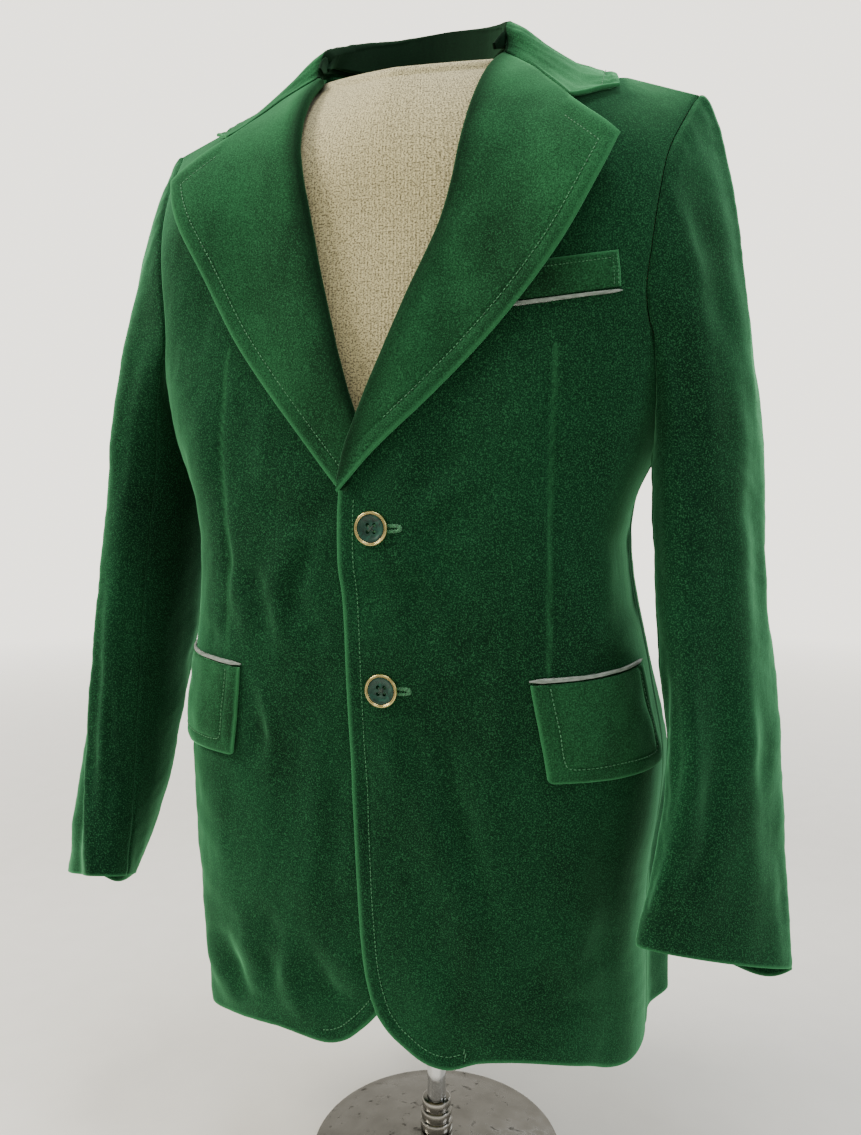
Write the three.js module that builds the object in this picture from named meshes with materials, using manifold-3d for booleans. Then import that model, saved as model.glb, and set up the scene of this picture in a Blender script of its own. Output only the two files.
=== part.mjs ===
// A men's velvet sport coat worn by a limbless dress form on a pedestal stand.
// Millimetres, +Z up, the wearer faces -Y and the wearer's left is +X.
// The origin is the centre of the stand's base, on the floor.
import * as THREE from "three";
import { mergeVertices } from "three/addons/utils/BufferGeometryUtils.js";
import Module from "manifold-3d";

const wasm = await Module();
wasm.setup();

// ---------- driving dimensions ----------
const SEAM = 0.3; // gap between two pieces that are sewn together
const BODY_WALL = 2.2; // velvet, canvas and lining of the fronts and back
const SLEEVE_WALL = 1.8;
const LAPEL_WALL = 2.4;
const COLLAR_WALL = 2.4;
const FLAP_WALL = 2.2;
const PIPING_WALL = 1.2;
const LAP_LIFT = 3; // the left front rides on the right front
const LAP_OVER_LAPEL = 7.3; // and higher where the right lapel runs under it
const LAPEL_LIFT = 5.8; // outer face of a lapel above the front under it

const SHOULDER_X = 218; // shoulder point: half the shoulder width
const SHOULDER_Y = -50;
const SHOULDER_Z = 913;
const SHOULDER_SLOPE = 0.36; // rise towards the neck per mm
const NECK_X = 78; // where the shoulder seam meets the neck
const NAPE_Z = 972; // centre back of the neck seam
const NAPE_BULGE = 32; // the back rises behind the neck
const YOKE_DROP = 145; // height over which the shoulder rounds into the chest
const YOKE_POWER = 2.5;

const BUTTON_R = 10.2;
const BUTTON_RIM_R = 12.6;
const BUTTON_T = 2.6;
const BUTTONS = [
  { name: "button_top", x: 2.3, z: 593.5 },
  { name: "button_bottom", x: 6.6, z: 474 },
];

const POLE_R = 8.6;
const POLE_TOP = 300;
const RING_R = 15;
const RING_Z = [24.6, 56];
const BASE_R = 116;
const BASE_RIM = 7;
const BASE_DOME = 24;
const FORM_BOTTOM = 262;

// Horizontal sections of the coat's outer face: centre, half width, front and
// back depth, the y of the widest line, and how square the two halves are.
const BODY = [
  { z: 140, cx: -12, half: 200, front: -123, back: 112, mid: 16, sqF: 2.7, sqB: 4.4 },
  { z: 200, cx: -12, half: 200, front: -131, back: 108, mid: 10, sqF: 2.7, sqB: 4.0 },
  { z: 290, cx: -12, half: 200, front: -141, back: 101, mid: -2, sqF: 2.8, sqB: 3.5 },
  { z: 400, cx: -4, half: 204, front: -148, back: 93, mid: -22, sqF: 3.0, sqB: 3.1 },
  { z: 480, cx: -2, half: 191, front: -157, back: 80, mid: -32, sqF: 3.2, sqB: 2.9 },
  { z: 560, cx: -3, half: 177, front: -161, back: 65, mid: -35, sqF: 3.5, sqB: 2.7 },
  { z: 610, cx: -5, half: 180, front: -161, back: 64, mid: -35, sqF: 3.6, sqB: 2.7 },
  { z: 650, cx: -4, half: 196, front: -160, back: 68, mid: -35, sqF: 3.6, sqB: 2.8 },
  { z: 695, cx: -1, half: 208, front: -159, back: 75, mid: -35, sqF: 3.6, sqB: 2.9 },
  { z: 735, cx: 0, half: 213, front: -157, back: 78, mid: -35, sqF: 3.8, sqB: 3.1 },
  { z: 770, cx: 0, half: 216, front: -154, back: 80, mid: -36, sqF: 4.0, sqB: 3.4 },
  { z: 840, cx: 0, half: 222, front: -149, back: 77, mid: -38, sqF: 4.0, sqB: 3.8 },
  { z: 1000, cx: 0, half: 224, front: -147, back: 74, mid: -40, sqF: 4.0, sqB: 4.0 },
];

// Long soft folds of the hanging cloth: where round the body (degrees from the
// front centre, + to the left), between which heights, how wide and how deep.
const BODY_FOLDS = [
  { at: 117, low: 60, high: 520, wide: 17, deep: 24 },
  { at: -117, low: 60, high: 480, wide: 17, deep: 13 },
  { at: 98, low: 100, high: 430, wide: 7, deep: -5 },
  { at: 112, low: 100, high: 470, wide: 6, deep: 5 },
  { at: 126, low: 100, high: 400, wide: 7, deep: -4.5 },
  { at: 141, low: 100, high: 440, wide: 7, deep: 4.5 },
  { at: 160, low: 100, high: 380, wide: 9, deep: -4 },
  { at: -104, low: 100, high: 420, wide: 8, deep: 5 },
  { at: -121, low: 100, high: 450, wide: 7, deep: -4.5 },
  { at: -138, low: 100, high: 390, wide: 8, deep: 4.5 },
  { at: -158, low: 100, high: 430, wide: 8, deep: -4 },
  { at: -52, low: 100, high: 330, wide: 8, deep: 4 },
  { at: 58, low: 100, high: 300, wide: 9, deep: -3 },
  { at: 30, low: 100, high: 280, wide: 8, deep: 2.5 },
];

// The front edge from the rounded quarter up to the break, then the roll line
// up to the neck, for each front.
const EDGE_LEFT = [
  { x: -9, z: 207.5 },
  { x: -15, z: 230 },
  { x: -18, z: 256 },
  { x: -21, z: 354 },
  { x: -22, z: 510 },
  { x: -23, z: 621 },
  { x: -10, z: 677 },
  { x: 22, z: 755 },
  { x: 50, z: 821 },
  { x: 62, z: 880 },
  { x: 69, z: 935 },
  { x: 72, z: 950 },
  { x: 78, z: 963 },
];
const EDGE_RIGHT = [
  { x: 3, z: 214 },
  { x: -6, z: 236 },
  { x: -14, z: 266 },
  { x: -20, z: 354 },
  { x: -22, z: 510 },
  { x: -20, z: 575 },
  { x: 11, z: 677 },
  { x: 36, z: 765 },
  { x: 52, z: 833 },
  { x: 62, z: 880 },
  { x: 70, z: 935 },
  { x: 73, z: 950 },
  { x: 78, z: 963 },
];
const HEM_LEFT = [
  { x: -9, z: 207.5 },
  { x: 0, z: 193 },
  { x: 10, z: 183.5 },
  { x: 22, z: 174.5 },
  { x: 35, z: 168.5 },
  { x: 51, z: 167 },
  { x: 74, z: 175 },
  { x: 107, z: 178 },
  { x: 150, z: 167 },
  { x: 169, z: 155 },
  { x: 188, z: 147 },
];
const HEM_RIGHT = [
  { x: 3, z: 214 },
  { x: 12, z: 202 },
  { x: 23, z: 190 },
  { x: 38, z: 177 },
  { x: 58, z: 171 },
  { x: 102, z: 174 },
  { x: 150, z: 168 },
  { x: 185, z: 162 },
  { x: 212, z: 160 },
];
const ARMPIT_Z = 704;
const ARMPIT_EDGE_Z = 668; // the height on the front edge level with the armpit
const HEM_BACK_Z = 148;

// The armhole seam from armpit to shoulder, by the turn round the body.
const ARMHOLE_FRONT = [
  { turn: 90, z: 704 },
  { turn: 81, z: 706 },
  { turn: 70, z: 712.5 },
  { turn: 61, z: 723 },
  { turn: 54, z: 739 },
  { turn: 51, z: 760 },
  { turn: 51.2, z: 785 },
  { turn: 51.8, z: 820 },
  { turn: 54.6, z: 858 },
  { turn: 62.2, z: 889 },
  { turn: 67.8, z: 905 },
  { turn: 72.9, z: 913 },
];
const ARMHOLE_BACK = [
  { turn: 90, z: 704 },
  { turn: 97, z: 709 },
  { turn: 107, z: 722 },
  { turn: 117, z: 742 },
  { turn: 124, z: 765 },
  { turn: 128.5, z: 800 },
  { turn: 128.5, z: 850 },
  { turn: 121.6, z: 888 },
  { turn: 113.2, z: 905 },
  { turn: 106.9, z: 913 },
];
const TURN_MM = 2.6; // about how far a degree of turn is round the armhole

// Lapels: outer edge from the break to the tip, then the top edge from the
// neck along the gorge seam to the notch and the tip.
const LAPEL_EDGE_LEFT = [
  { x: -21, z: 619 },
  { x: 2, z: 646 },
  { x: 45, z: 687 },
  { x: 95, z: 740 },
  { x: 128, z: 787 },
  { x: 149, z: 832 },
  { x: 158, z: 858 },
];
const LAPEL_EDGE_RIGHT = [
  { x: -19, z: 574 },
  { x: 24, z: 620 },
  { x: 65, z: 673 },
  { x: 103, z: 728 },
  { x: 129, z: 786 },
  { x: 148, z: 828 },
  { x: 158, z: 861 },
];
const LAPEL_TOP = [
  { x: 72, z: 953 },
  { x: 97, z: 935 },
  { x: 118, z: 913 },
  { x: 133, z: 893 },
  { x: 158, z: 859 },
];
const SEWN = 5; // columns of the lapel's top edge that are sewn to the collar
const TIP_FLOAT = 17; // the stiff lapel tip stands off the chest

// Collar: neck seam, fold line and outer edge of the leaf, from the gorge end
// on one side to the centre back.
const COLLAR = [
  { seamX: 71.5, seamY: -82, seamZ: 951, foldX: 72, foldY: -88, foldZ: 953.5, edgeX: 164, edgeY: -86, edgeZ: 914 },
  { seamX: 74.5, seamY: -68, seamZ: 957, foldX: 75, foldY: -73, foldZ: 968, edgeX: 161, edgeY: -62, edgeZ: 921 },
  { seamX: 77.5, seamY: -48, seamZ: 965.5, foldX: 74, foldY: -45, foldZ: 983, edgeX: 152, edgeY: -30, edgeZ: 924 },
  { seamX: 67, seamY: -27, seamZ: 970, foldX: 64, foldY: -10, foldZ: 1000, edgeX: 131, edgeY: 8, edgeZ: 928 },
  { seamX: 42, seamY: 8, seamZ: 972, foldX: 40, foldY: 25, foldZ: 1014, edgeX: 78, edgeY: 48, edgeZ: 943 },
  { seamX: 0, seamY: 28, seamZ: 974, foldX: 0, foldY: 41, foldZ: 1021, edgeX: 0, edgeY: 63, edgeZ: 951 },
];

// Sleeve sections below the cap: centre, half depth along the flat of the
// sleeve, half thickness, and the turn of the flat from the x axis.
const SLEEVE_LEFT = [
  { z: 640, cx: 232, cy: -46, flat: 74, thick: 35, turn: 71 },
  { z: 560, cx: 236, cy: -50, flat: 72, thick: 35, turn: 70 },
  { z: 490, cx: 242, cy: -56, flat: 71, thick: 34, turn: 68 },
  { z: 433, cx: 248.5, cy: -62, flat: 70, thick: 31, turn: 65 },
  { z: 345, cx: 249, cy: -72, flat: 69, thick: 29, turn: 53 },
  { z: 268, cx: 246, cy: -80, flat: 68, thick: 28, turn: 37 },
];
const SLEEVE_RIGHT = [
  { z: 640, cx: 242, cy: -44, flat: 72, thick: 38, turn: 90 },
  { z: 552, cx: 254, cy: -48, flat: 69, thick: 38, turn: 90 },
  { z: 470, cx: 266, cy: -52, flat: 66, thick: 38, turn: 86 },
  { z: 385, cx: 278, cy: -60, flat: 63, thick: 37.5, turn: 78 },
  { z: 320, cx: 287.5, cy: -72, flat: 65, thick: 35, turn: 65 },
  { z: 268, cx: 299, cy: -84, flat: 68, thick: 29.5, turn: 50 },
];
const CUFF_SLOPE = { x: -0.08, y: -0.35 }; // the cuff hangs lower outside and behind
const CUFF_DROOP = 14; // the under sleeve's hem sags behind
const SEAM_FRONT = 128; // degrees round the sleeve from its outer line
const SEAM_BACK = 292;
// Long folds down the sleeves: degrees round, heights, width and depth.
const SLEEVE_FOLDS = {
  left: [
    { at: 78, low: 300, high: 640, wide: 11, deep: 3.5 },
    { at: 48, low: 330, high: 600, wide: 12, deep: -3 },
    { at: 20, low: 420, high: 760, wide: 11, deep: 2.5 },
    { at: 215, low: 380, high: 600, wide: 16, deep: -3 },
    { at: 318, low: 360, high: 620, wide: 14, deep: -3 },
  ],
  right: [
    { at: 40, low: 250, high: 600, wide: 11, deep: -4 },
    { at: 64, low: 250, high: 640, wide: 10, deep: 4 },
    { at: 12, low: 300, high: 700, wide: 12, deep: 3 },
    { at: 215, low: 380, high: 600, wide: 16, deep: -3 },
    { at: 318, low: 360, high: 620, wide: 14, deep: -3 },
  ],
};

const VELVET = { color: 0x14532a, roughness: 0.85, metalness: 0 };
const VELVET_DARK = { color: 0x0f4422, roughness: 0.85, metalness: 0 };
const SATIN = { color: 0x9fa5a0, roughness: 0.4, metalness: 0 };
const LINEN = { color: 0xb8a98a, roughness: 0.95, metalness: 0 };
const CHROME = { color: 0xc9cccd, roughness: 0.15, metalness: 1 };
const NICKEL = { color: 0x9b9a96, roughness: 0.25, metalness: 1 };
const BUTTON_PLASTIC = { color: 0x1d3a33, roughness: 0.35, metalness: 0 };
const BRASS = { color: 0xb79a4a, roughness: 0.3, metalness: 1 };

// ---------- small helpers ----------
const RAD = Math.PI / 180;
const lerp = (a, b, t) => a + (b - a) * t;
const clamp01 = (t) => Math.min(1, Math.max(0, t));
const smooth = (t) => clamp01(t) ** 2 * (3 - 2 * clamp01(t));

// One column of a table, smoothly read at a value of its key column.
function column(rows, key, at, name) {
  const up = rows[rows.length - 1][key] > rows[0][key];
  const order = (row) => (up ? row[key] : -row[key]);
  const target = up ? at : -at;
  let i = 0;
  while (i < rows.length - 2 && order(rows[i + 1]) < target) i += 1;
  const a = rows[Math.max(i - 1, 0)];
  const b = rows[i];
  const c = rows[i + 1];
  const d = rows[Math.min(i + 2, rows.length - 1)];
  const t = clamp01((at - b[key]) / (c[key] - b[key]));
  const span = c[key] - b[key];
  const slopeB = ((c[name] - a[name]) / (c[key] - a[key])) * span;
  const slopeC = ((d[name] - b[name]) / (d[key] - b[key])) * span;
  const t2 = t * t;
  const t3 = t2 * t;
  return (
    b[name] * (2 * t3 - 3 * t2 + 1) + slopeB * (t3 - 2 * t2 + t) +
    c[name] * (3 * t2 - 2 * t3) + slopeC * (t3 - t2)
  );
}

// A smooth curve through a table's rows, read by share of its length.
function curveOf(rows, names) {
  const points = rows.map((row) => new THREE.Vector3(...names.map((n) => row[n])));
  const curve = new THREE.CatmullRomCurve3(points, false, "centripetal");
  curve.arcLengthDivisions = 400;
  return curve;
}
const flatCurve = (rows) => curveOf(rows.map((r) => ({ x: r.x, y: 0, z: r.z })), ["x", "y", "z"]);
const turnCurve = (rows) => flatCurve(rows.map((r) => ({ x: r.turn * TURN_MM, z: r.z })));
const armholeFront = turnCurve(ARMHOLE_FRONT);
const armholeBack = turnCurve(ARMHOLE_BACK);
// The turn and height of the armhole seam at a share of its length.
function armholeAt(front, share) {
  const at = (front ? armholeFront : armholeBack).getPointAt(share);
  return { turn: at.x / TURN_MM, z: at.z };
}

// A closed wall from a grid of outer points and the matching inner points.
function wallGeometry(outer, inner) {
  const rows = outer.length;
  const cols = outer[0].length;
  const position = [];
  outer.flat().forEach((p) => position.push(p.x, p.y, p.z));
  inner.flat().forEach((p) => position.push(p.x, p.y, p.z));
  const o = (i, j) => i * cols + j;
  const n = (i, j) => rows * cols + i * cols + j;
  const index = [];
  const quad = (a, b, c, d) => index.push(a, b, c, a, c, d);
  for (let i = 0; i < rows - 1; i += 1) {
    for (let j = 0; j < cols - 1; j += 1) {
      quad(o(i, j), o(i, j + 1), o(i + 1, j + 1), o(i + 1, j));
      quad(n(i, j), n(i + 1, j), n(i + 1, j + 1), n(i, j + 1));
    }
  }
  for (let j = 0; j < cols - 1; j += 1) {
    quad(o(0, j), n(0, j), n(0, j + 1), o(0, j + 1));
    quad(o(rows - 1, j), o(rows - 1, j + 1), n(rows - 1, j + 1), n(rows - 1, j));
  }
  for (let i = 0; i < rows - 1; i += 1) {
    quad(o(i, 0), o(i + 1, 0), n(i + 1, 0), n(i, 0));
    quad(o(i, cols - 1), n(i, cols - 1), n(i + 1, cols - 1), o(i + 1, cols - 1));
  }
  const geometry = new THREE.BufferGeometry();
  geometry.setAttribute("position", new THREE.Float32BufferAttribute(position, 3));
  geometry.setIndex(index);
  return facingOut(geometry);
}

// The same geometry with its faces pointing out.
function facingOut(geometry) {
  const p = geometry.getAttribute("position");
  const index = geometry.index.array;
  const [a, b, c] = [new THREE.Vector3(), new THREE.Vector3(), new THREE.Vector3()];
  let volume = 0;
  for (let i = 0; i < index.length; i += 3) {
    a.fromBufferAttribute(p, index[i]);
    b.fromBufferAttribute(p, index[i + 1]);
    c.fromBufferAttribute(p, index[i + 2]);
    volume += a.dot(b.cross(c));
  }
  if (volume < 0) {
    for (let i = 0; i < index.length; i += 3) {
      [index[i + 1], index[i + 2]] = [index[i + 2], index[i + 1]];
    }
  }
  geometry.computeVertexNormals();
  return geometry;
}

// Unit normals of a grid, all on the side of the given pointing function.
function gridNormals(grid, outward) {
  const rows = grid.length;
  const cols = grid[0].length;
  return grid.map((row, i) =>
    row.map((p, j) => {
      const up = grid[Math.min(i + 1, rows - 1)][j].clone();
      up.sub(grid[Math.max(i - 1, 0)][j]);
      const along = row[Math.min(j + 1, cols - 1)].clone();
      along.sub(row[Math.max(j - 1, 0)]);
      const normal = up.cross(along).normalize();
      return normal.dot(outward(p)) < 0 ? normal.negate() : normal;
    }),
  );
}

function mesh(name, geometry, look) {
  const made = new THREE.Mesh(geometry, new THREE.MeshStandardMaterial(look));
  made.name = name;
  return made;
}

// ---------- the coat's body surface ----------
const shoulderLine = (x) => SHOULDER_Z + SHOULDER_SLOPE * (SHOULDER_X - Math.abs(x));
const yoke = (h) => 1 - (1 - clamp01(h / YOKE_DROP)) ** YOKE_POWER;
const sectionAt = (name, z) => column(BODY, "z", z, name);

function foldDepth(folds, at, z) {
  let sum = 0;
  for (const fold of folds) {
    const across = Math.exp(-(((at - fold.at) / fold.wide) ** 2));
    const along = smooth((fold.high - z) / (0.6 * (fold.high - fold.low)));
    const below = smooth((z - fold.low) / 40 + 0.5);
    sum += fold.deep * across * along * below;
  }
  return sum;
}

// A point of the coat's outer face. turn is in degrees from the front centre
// (0) over the side (90) to the centre back (180), and side is +1 for the
// wearer's left and -1 for the right.
function bodyPoint(side, turn, z, lift = 0) {
  const front = turn <= 90;
  const square = sectionAt(front ? "sqF" : "sqB", z);
  const half = sectionAt("half", z);
  const s = Math.abs(Math.sin(turn * RAD)) ** (2 / square);
  const c = Math.abs(Math.cos(turn * RAD)) ** (2 / square);
  const mid = sectionAt("mid", z);
  const depth = front ? sectionAt("front", z) - mid : sectionAt("back", z) - mid;
  const x = sectionAt("cx", z) + side * half * s;
  let top = shoulderLine(x);
  if (!front) top += NAPE_BULGE * (1 - smooth((Math.abs(x) - 20) / 60));
  const flat = mid + depth * c;
  const y = SHOULDER_Y + (flat - SHOULDER_Y) * yoke(top - z);
  const p = new THREE.Vector3(x, y, z);
  const out = new THREE.Vector3(side * s, front ? -c : c, 0).normalize();
  return p.addScaledVector(out, lift + foldDepth(BODY_FOLDS, side * turn, z));
}

// The turn at which a front or back half is a given distance from the middle.
function turnAt(side, x, z, front = true) {
  const square = sectionAt(front ? "sqF" : "sqB", z);
  const s = clamp01((side * (x - sectionAt("cx", z))) / sectionAt("half", z));
  const turn = Math.asin(s ** (square / 2)) / RAD;
  return front ? turn : 180 - turn;
}

// How far from the middle, towards its side, the body is at a turn.
function reachAt(side, turn, z) {
  const square = sectionAt(turn <= 90 ? "sqF" : "sqB", z);
  return side * sectionAt("cx", z) + sectionAt("half", z) * Math.sin(turn * RAD) ** (2 / square);
}

// A point given by its distance from the middle towards one side: negative is
// past the middle, where the fronts lap.
function frontPoint(side, reach, z, lift = 0) {
  const x = side * reach;
  const across = side * (x - sectionAt("cx", z)) < 0 ? -side : side;
  return bodyPoint(across, turnAt(across, x, z), z, lift);
}

// The height of the coat's shoulder, front or back, over a point in plan.
function restHeight(x, y) {
  const front = y < SHOULDER_Y;
  const top = shoulderLine(x) + (front ? 0 : NAPE_BULGE * (1 - smooth((Math.abs(x) - 20) / 60)));
  let z = top;
  for (let k = 0; k < 4; k += 1) {
    const square = sectionAt(front ? "sqF" : "sqB", z);
    const s = clamp01(Math.abs(x) / sectionAt("half", z));
    const c = (1 - s ** square) ** (1 / square);
    const mid = sectionAt("mid", z);
    const flat = mid + (sectionAt(front ? "front" : "back", z) - mid) * c;
    const share = clamp01((y - SHOULDER_Y) / (flat - SHOULDER_Y));
    z = top - YOKE_DROP * (1 - (1 - share) ** (1 / YOKE_POWER));
  }
  return z;
}

const outFromBody = (p) => new THREE.Vector3(p.x, p.y + 35, 0);

// A row resampled to even columns, trimmed by half a seam at the asked ends.
function evenRow(points, count, trimStart, trimEnd) {
  const length = [0];
  for (let i = 1; i < points.length; i += 1) {
    length.push(length[i - 1] + points[i].distanceTo(points[i - 1]));
  }
  const total = length[length.length - 1];
  const row = [];
  let k = 0;
  for (let j = 0; j <= count; j += 1) {
    const want = trimStart + ((total - trimStart - trimEnd) * j) / count;
    while (k < points.length - 2 && length[k + 1] < want) k += 1;
    const t = (want - length[k]) / (length[k + 1] - length[k] || 1);
    row.push(points[k].clone().lerp(points[k + 1], clamp01(t)));
  }
  return row;
}

// How far the left front is lifted to lap over the right.
function lapLift(x, z) {
  const overLapel = smooth((z - 540) / 30) * (LAP_OVER_LAPEL - LAP_LIFT);
  return (LAP_LIFT + overLapel) * (1 - smooth((x - 18) / 45));
}

const FRONT_COLS = 14;
const ROWS_BELOW = 12;
const ROWS_ABOVE = 10;
const FINE = 90;

// The panel's rows: its open edge, its seam side and, above the armpit, its
// share of the way up the armhole. low is the share up the side seam.
function panelRows(side, front, edgeAt, bottom, top, sideHem) {
  const rows = [];
  for (let i = 0; i <= ROWS_BELOW; i += 1) {
    const low = i / ROWS_BELOW;
    const z = lerp(sideHem, ARMPIT_Z, low);
    rows.push({ edge: edgeAt(lerp(bottom, ARMPIT_EDGE_Z, low)), end: { x: reachAt(side, 90, z), z }, low, high: 0 });
  }
  for (let i = 1; i <= ROWS_ABOVE; i += 1) {
    const high = i / ROWS_ABOVE;
    const { turn, z } = armholeAt(front, high);
    rows.push({ edge: edgeAt(lerp(ARMPIT_EDGE_Z, top, high)), end: { x: reachAt(side, turn, z), z }, low: 1, high });
  }
  return rows;
}

// Shares across a panel, closer together towards the side, where it turns.
const across = Array.from({ length: FINE + 1 }, (_, k) => Math.sin((k / FINE) * (Math.PI / 2)));

function frontGrid(side) {
  const left = side > 0;
  const edge = left ? EDGE_LEFT : EDGE_RIGHT;
  const hem = left ? HEM_LEFT : HEM_RIGHT;
  const hemStart = hem[0];
  const hemEnd = hem[hem.length - 1];
  const edgeAt = (z) => ({ x: column(edge, "z", z, "x"), z });
  const rows = panelRows(side, true, edgeAt, edge[0].z, edge[edge.length - 1].z, hemEnd.z);
  return rows.map((row) => {
    const points = across.map((share) => {
      const x = lerp(row.edge.x, row.end.x, share);
      const cut = column(hem, "x", lerp(hemStart.x, hemEnd.x, share), "z");
      const drop = (cut - lerp(hemStart.z, hemEnd.z, share)) * (1 - row.low) ** 3;
      const z = lerp(row.edge.z, row.end.z, share) + drop;
      return frontPoint(side, x, z, left ? lapLift(x, z) : 0);
    });
    return evenRow(points, FRONT_COLS, 0, row.high ? 0 : SEAM / 2);
  });
}

function backGrid(side) {
  const hem = side > 0 ? HEM_LEFT : HEM_RIGHT;
  const rows = panelRows(side, false, (z) => ({ z }), HEM_BACK_Z, NAPE_Z, hem[hem.length - 1].z);
  const neckZ = (x) => (x < NECK_X ? NAPE_Z - 9 * (x / NECK_X) ** 2 : shoulderLine(x));
  return rows.map((row) => {
    const cx = side * sectionAt("cx", row.end.z);
    const points = across.map((share) => {
      const x = lerp(cx * (1 - row.high), row.end.x, share);
      const straight = lerp(NAPE_Z, SHOULDER_Z, x / SHOULDER_X);
      const z = lerp(row.edge.z, row.end.z, share) + (neckZ(x) - straight) * row.high ** 3;
      return bodyPoint(side, turnAt(side, side * x, z, false), z);
    });
    return evenRow(points, FRONT_COLS, SEAM / 2, row.high ? 0 : SEAM / 2);
  });
}

// A wall hung from a grid of outer points, with its thickness inwards.
function wallFrom(grid, outward, wall, base = 0) {
  const normals = gridNormals(grid, outward);
  const moved = (by) => grid.map((row, i) => row.map((p, j) => p.clone().addScaledVector(normals[i][j], by)));
  return wallGeometry(moved(base), moved(base - wall));
}

const SINK = 6; // the shoulder seam lies lower where the collar covers it
const SINK_END = 168;

// A front or back wall. Its edges along the side, shoulder and centre seams
// are square to the seam, so the two sides of a seam never cross.
function bodyWall(grid, isFront) {
  const last = grid.length - 1;
  grid[last].forEach((p) => {
    const under = smooth((Math.abs(p.x) - NECK_X) / 15) * smooth((SINK_END - Math.abs(p.x)) / 25);
    p.y += (isFront ? -SEAM : SEAM) / 2;
    p.z -= SINK * under;
  });
  const normals = gridNormals(grid, outFromBody);
  normals.forEach((row, i) => {
    if (i <= ROWS_BELOW) row[FRONT_COLS].setY(0).normalize();
    if (!isFront) row[0].setX(0).normalize();
    if (i === last) row.forEach((n) => n.setY(0).normalize());
  });
  const inner = grid.map((row, i) => row.map((p, j) => p.clone().addScaledVector(normals[i][j], -BODY_WALL)));
  return wallGeometry(grid, inner);
}

function bodyPanels() {
  return [
    mesh("front_left", bodyWall(frontGrid(1), true), VELVET),
    mesh("front_right", bodyWall(frontGrid(-1), true), VELVET),
    mesh("back_left", bodyWall(backGrid(1), false), VELVET_DARK),
    mesh("back_right", bodyWall(backGrid(-1), false), VELVET_DARK),
  ];
}

// ---------- lapels ----------
const LAPEL_COLS = 8;
const LAPEL_ROWS = 12;

// How far a lapel's outer face stands off the coat's outer face.
function lapelLift(side, u, v, x, z) {
  const roll = smooth(u / 0.14);
  const low = LAPEL_WALL + 0.9 + 2.1 * smooth((v - 0.5) / 0.25);
  const base = lerp(low, LAPEL_LIFT, roll);
  const tip = TIP_FLOAT * smooth((u - 0.35) / 0.65) * smooth((v - 0.45) / 0.55);
  if (side > 0) return base + tip + lapLift(x, z);
  return lerp(low, base + tip, smooth((z - 640) / 60));
}

function lapelGrid(side) {
  const left = side > 0;
  const edge = left ? EDGE_LEFT : EDGE_RIGHT;
  const outer = flatCurve(left ? LAPEL_EDGE_LEFT : LAPEL_EDGE_RIGHT);
  const top = flatCurve(LAPEL_TOP);
  const low = left ? 621 : 577;
  const high = LAPEL_TOP[0].z;
  const tip = outer.getPointAt(1);
  const grid = [];
  for (let i = 0; i <= LAPEL_ROWS; i += 1) {
    const v = i / LAPEL_ROWS;
    const z = lerp(low, high, v);
    const inner = { x: column(edge, "z", z, "x") + 1, z };
    const outside = outer.getPointAt(v);
    const row = [];
    for (let j = 0; j <= LAPEL_COLS; j += 1) {
      const u = j / LAPEL_COLS;
      const corner = top.getPointAt(u);
      const bend = v ** 4;
      const dx = corner.x - lerp(LAPEL_TOP[0].x + 1, tip.x, u);
      const dz = corner.z - lerp(high, tip.z, u);
      const x = lerp(inner.x, outside.x, u) + bend * dx;
      const zz = lerp(inner.z, outside.z, u) + bend * dz;
      row.push(frontPoint(side, x, zz, lapelLift(side, u, v, x, zz)));
    }
    grid.push(row);
  }
  return grid;
}

function lapels() {
  return [
    mesh("lapel_left", wallFrom(lapelGrid(1), outFromBody, LAPEL_WALL), VELVET),
    mesh("lapel_right", wallFrom(lapelGrid(-1), outFromBody, LAPEL_WALL), VELVET),
  ];
}

// Along the gorge seam the collar leaf takes the lapel's own normals.
function gorgeNormals(side) {
  return gridNormals(lapelGrid(side), outFromBody)[LAPEL_ROWS];
}

// ---------- collar ----------
const COLLAR_HALF = 14; // columns from a gorge end to the centre back
const LEAF_ROWS = SEWN + 1;
const GORGE_GAP = 0.6; // each way between the lapel's top edge and the collar
const STAND_TOP = 0.93; // the stand's share of the way up to the fold line
const LEAF_LIFT = 4.3; // the leaf turns over the stand
const LEAF_CLEAR = 4.4; // and stays this far off the shoulders
const RIDGE_SINK = 2; // but lies closer over the lowered shoulder seam

// Both halves of a collar curve, from the left gorge end round to the right.
function collarCurve(kind) {
  const names = ["X", "Y", "Z"].map((axis) => kind + axis);
  const half = COLLAR.map((row) => new THREE.Vector3(...names.map((n) => row[n])));
  const other = half.slice(0, -1).reverse().map((p) => new THREE.Vector3(-p.x, p.y, p.z));
  return new THREE.CatmullRomCurve3([...half, ...other], false, "centripetal");
}

function collarStand() {
  const seam = collarCurve("seam");
  const fold = collarCurve("fold");
  const grid = [0, 1, 2, 3].map((i) => {
    const row = [];
    for (let j = 0; j <= 2 * COLLAR_HALF; j += 1) {
      const s = j / (2 * COLLAR_HALF);
      row.push(seam.getPoint(s).lerp(fold.getPoint(s), STAND_TOP * (i / 3)));
    }
    return row;
  });
  const normals = gridNormals(grid, (p) => new THREE.Vector3(p.x, p.y + 35, 0));
  const inner = grid.map((row, i) =>
    row.map((p, j) => {
      const n = normals[i][j].clone().setZ(0).normalize();
      return p.clone().addScaledVector(n, -COLLAR_WALL);
    }),
  );
  return mesh("collar_stand", wallGeometry(grid, inner), VELVET_DARK);
}

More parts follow.
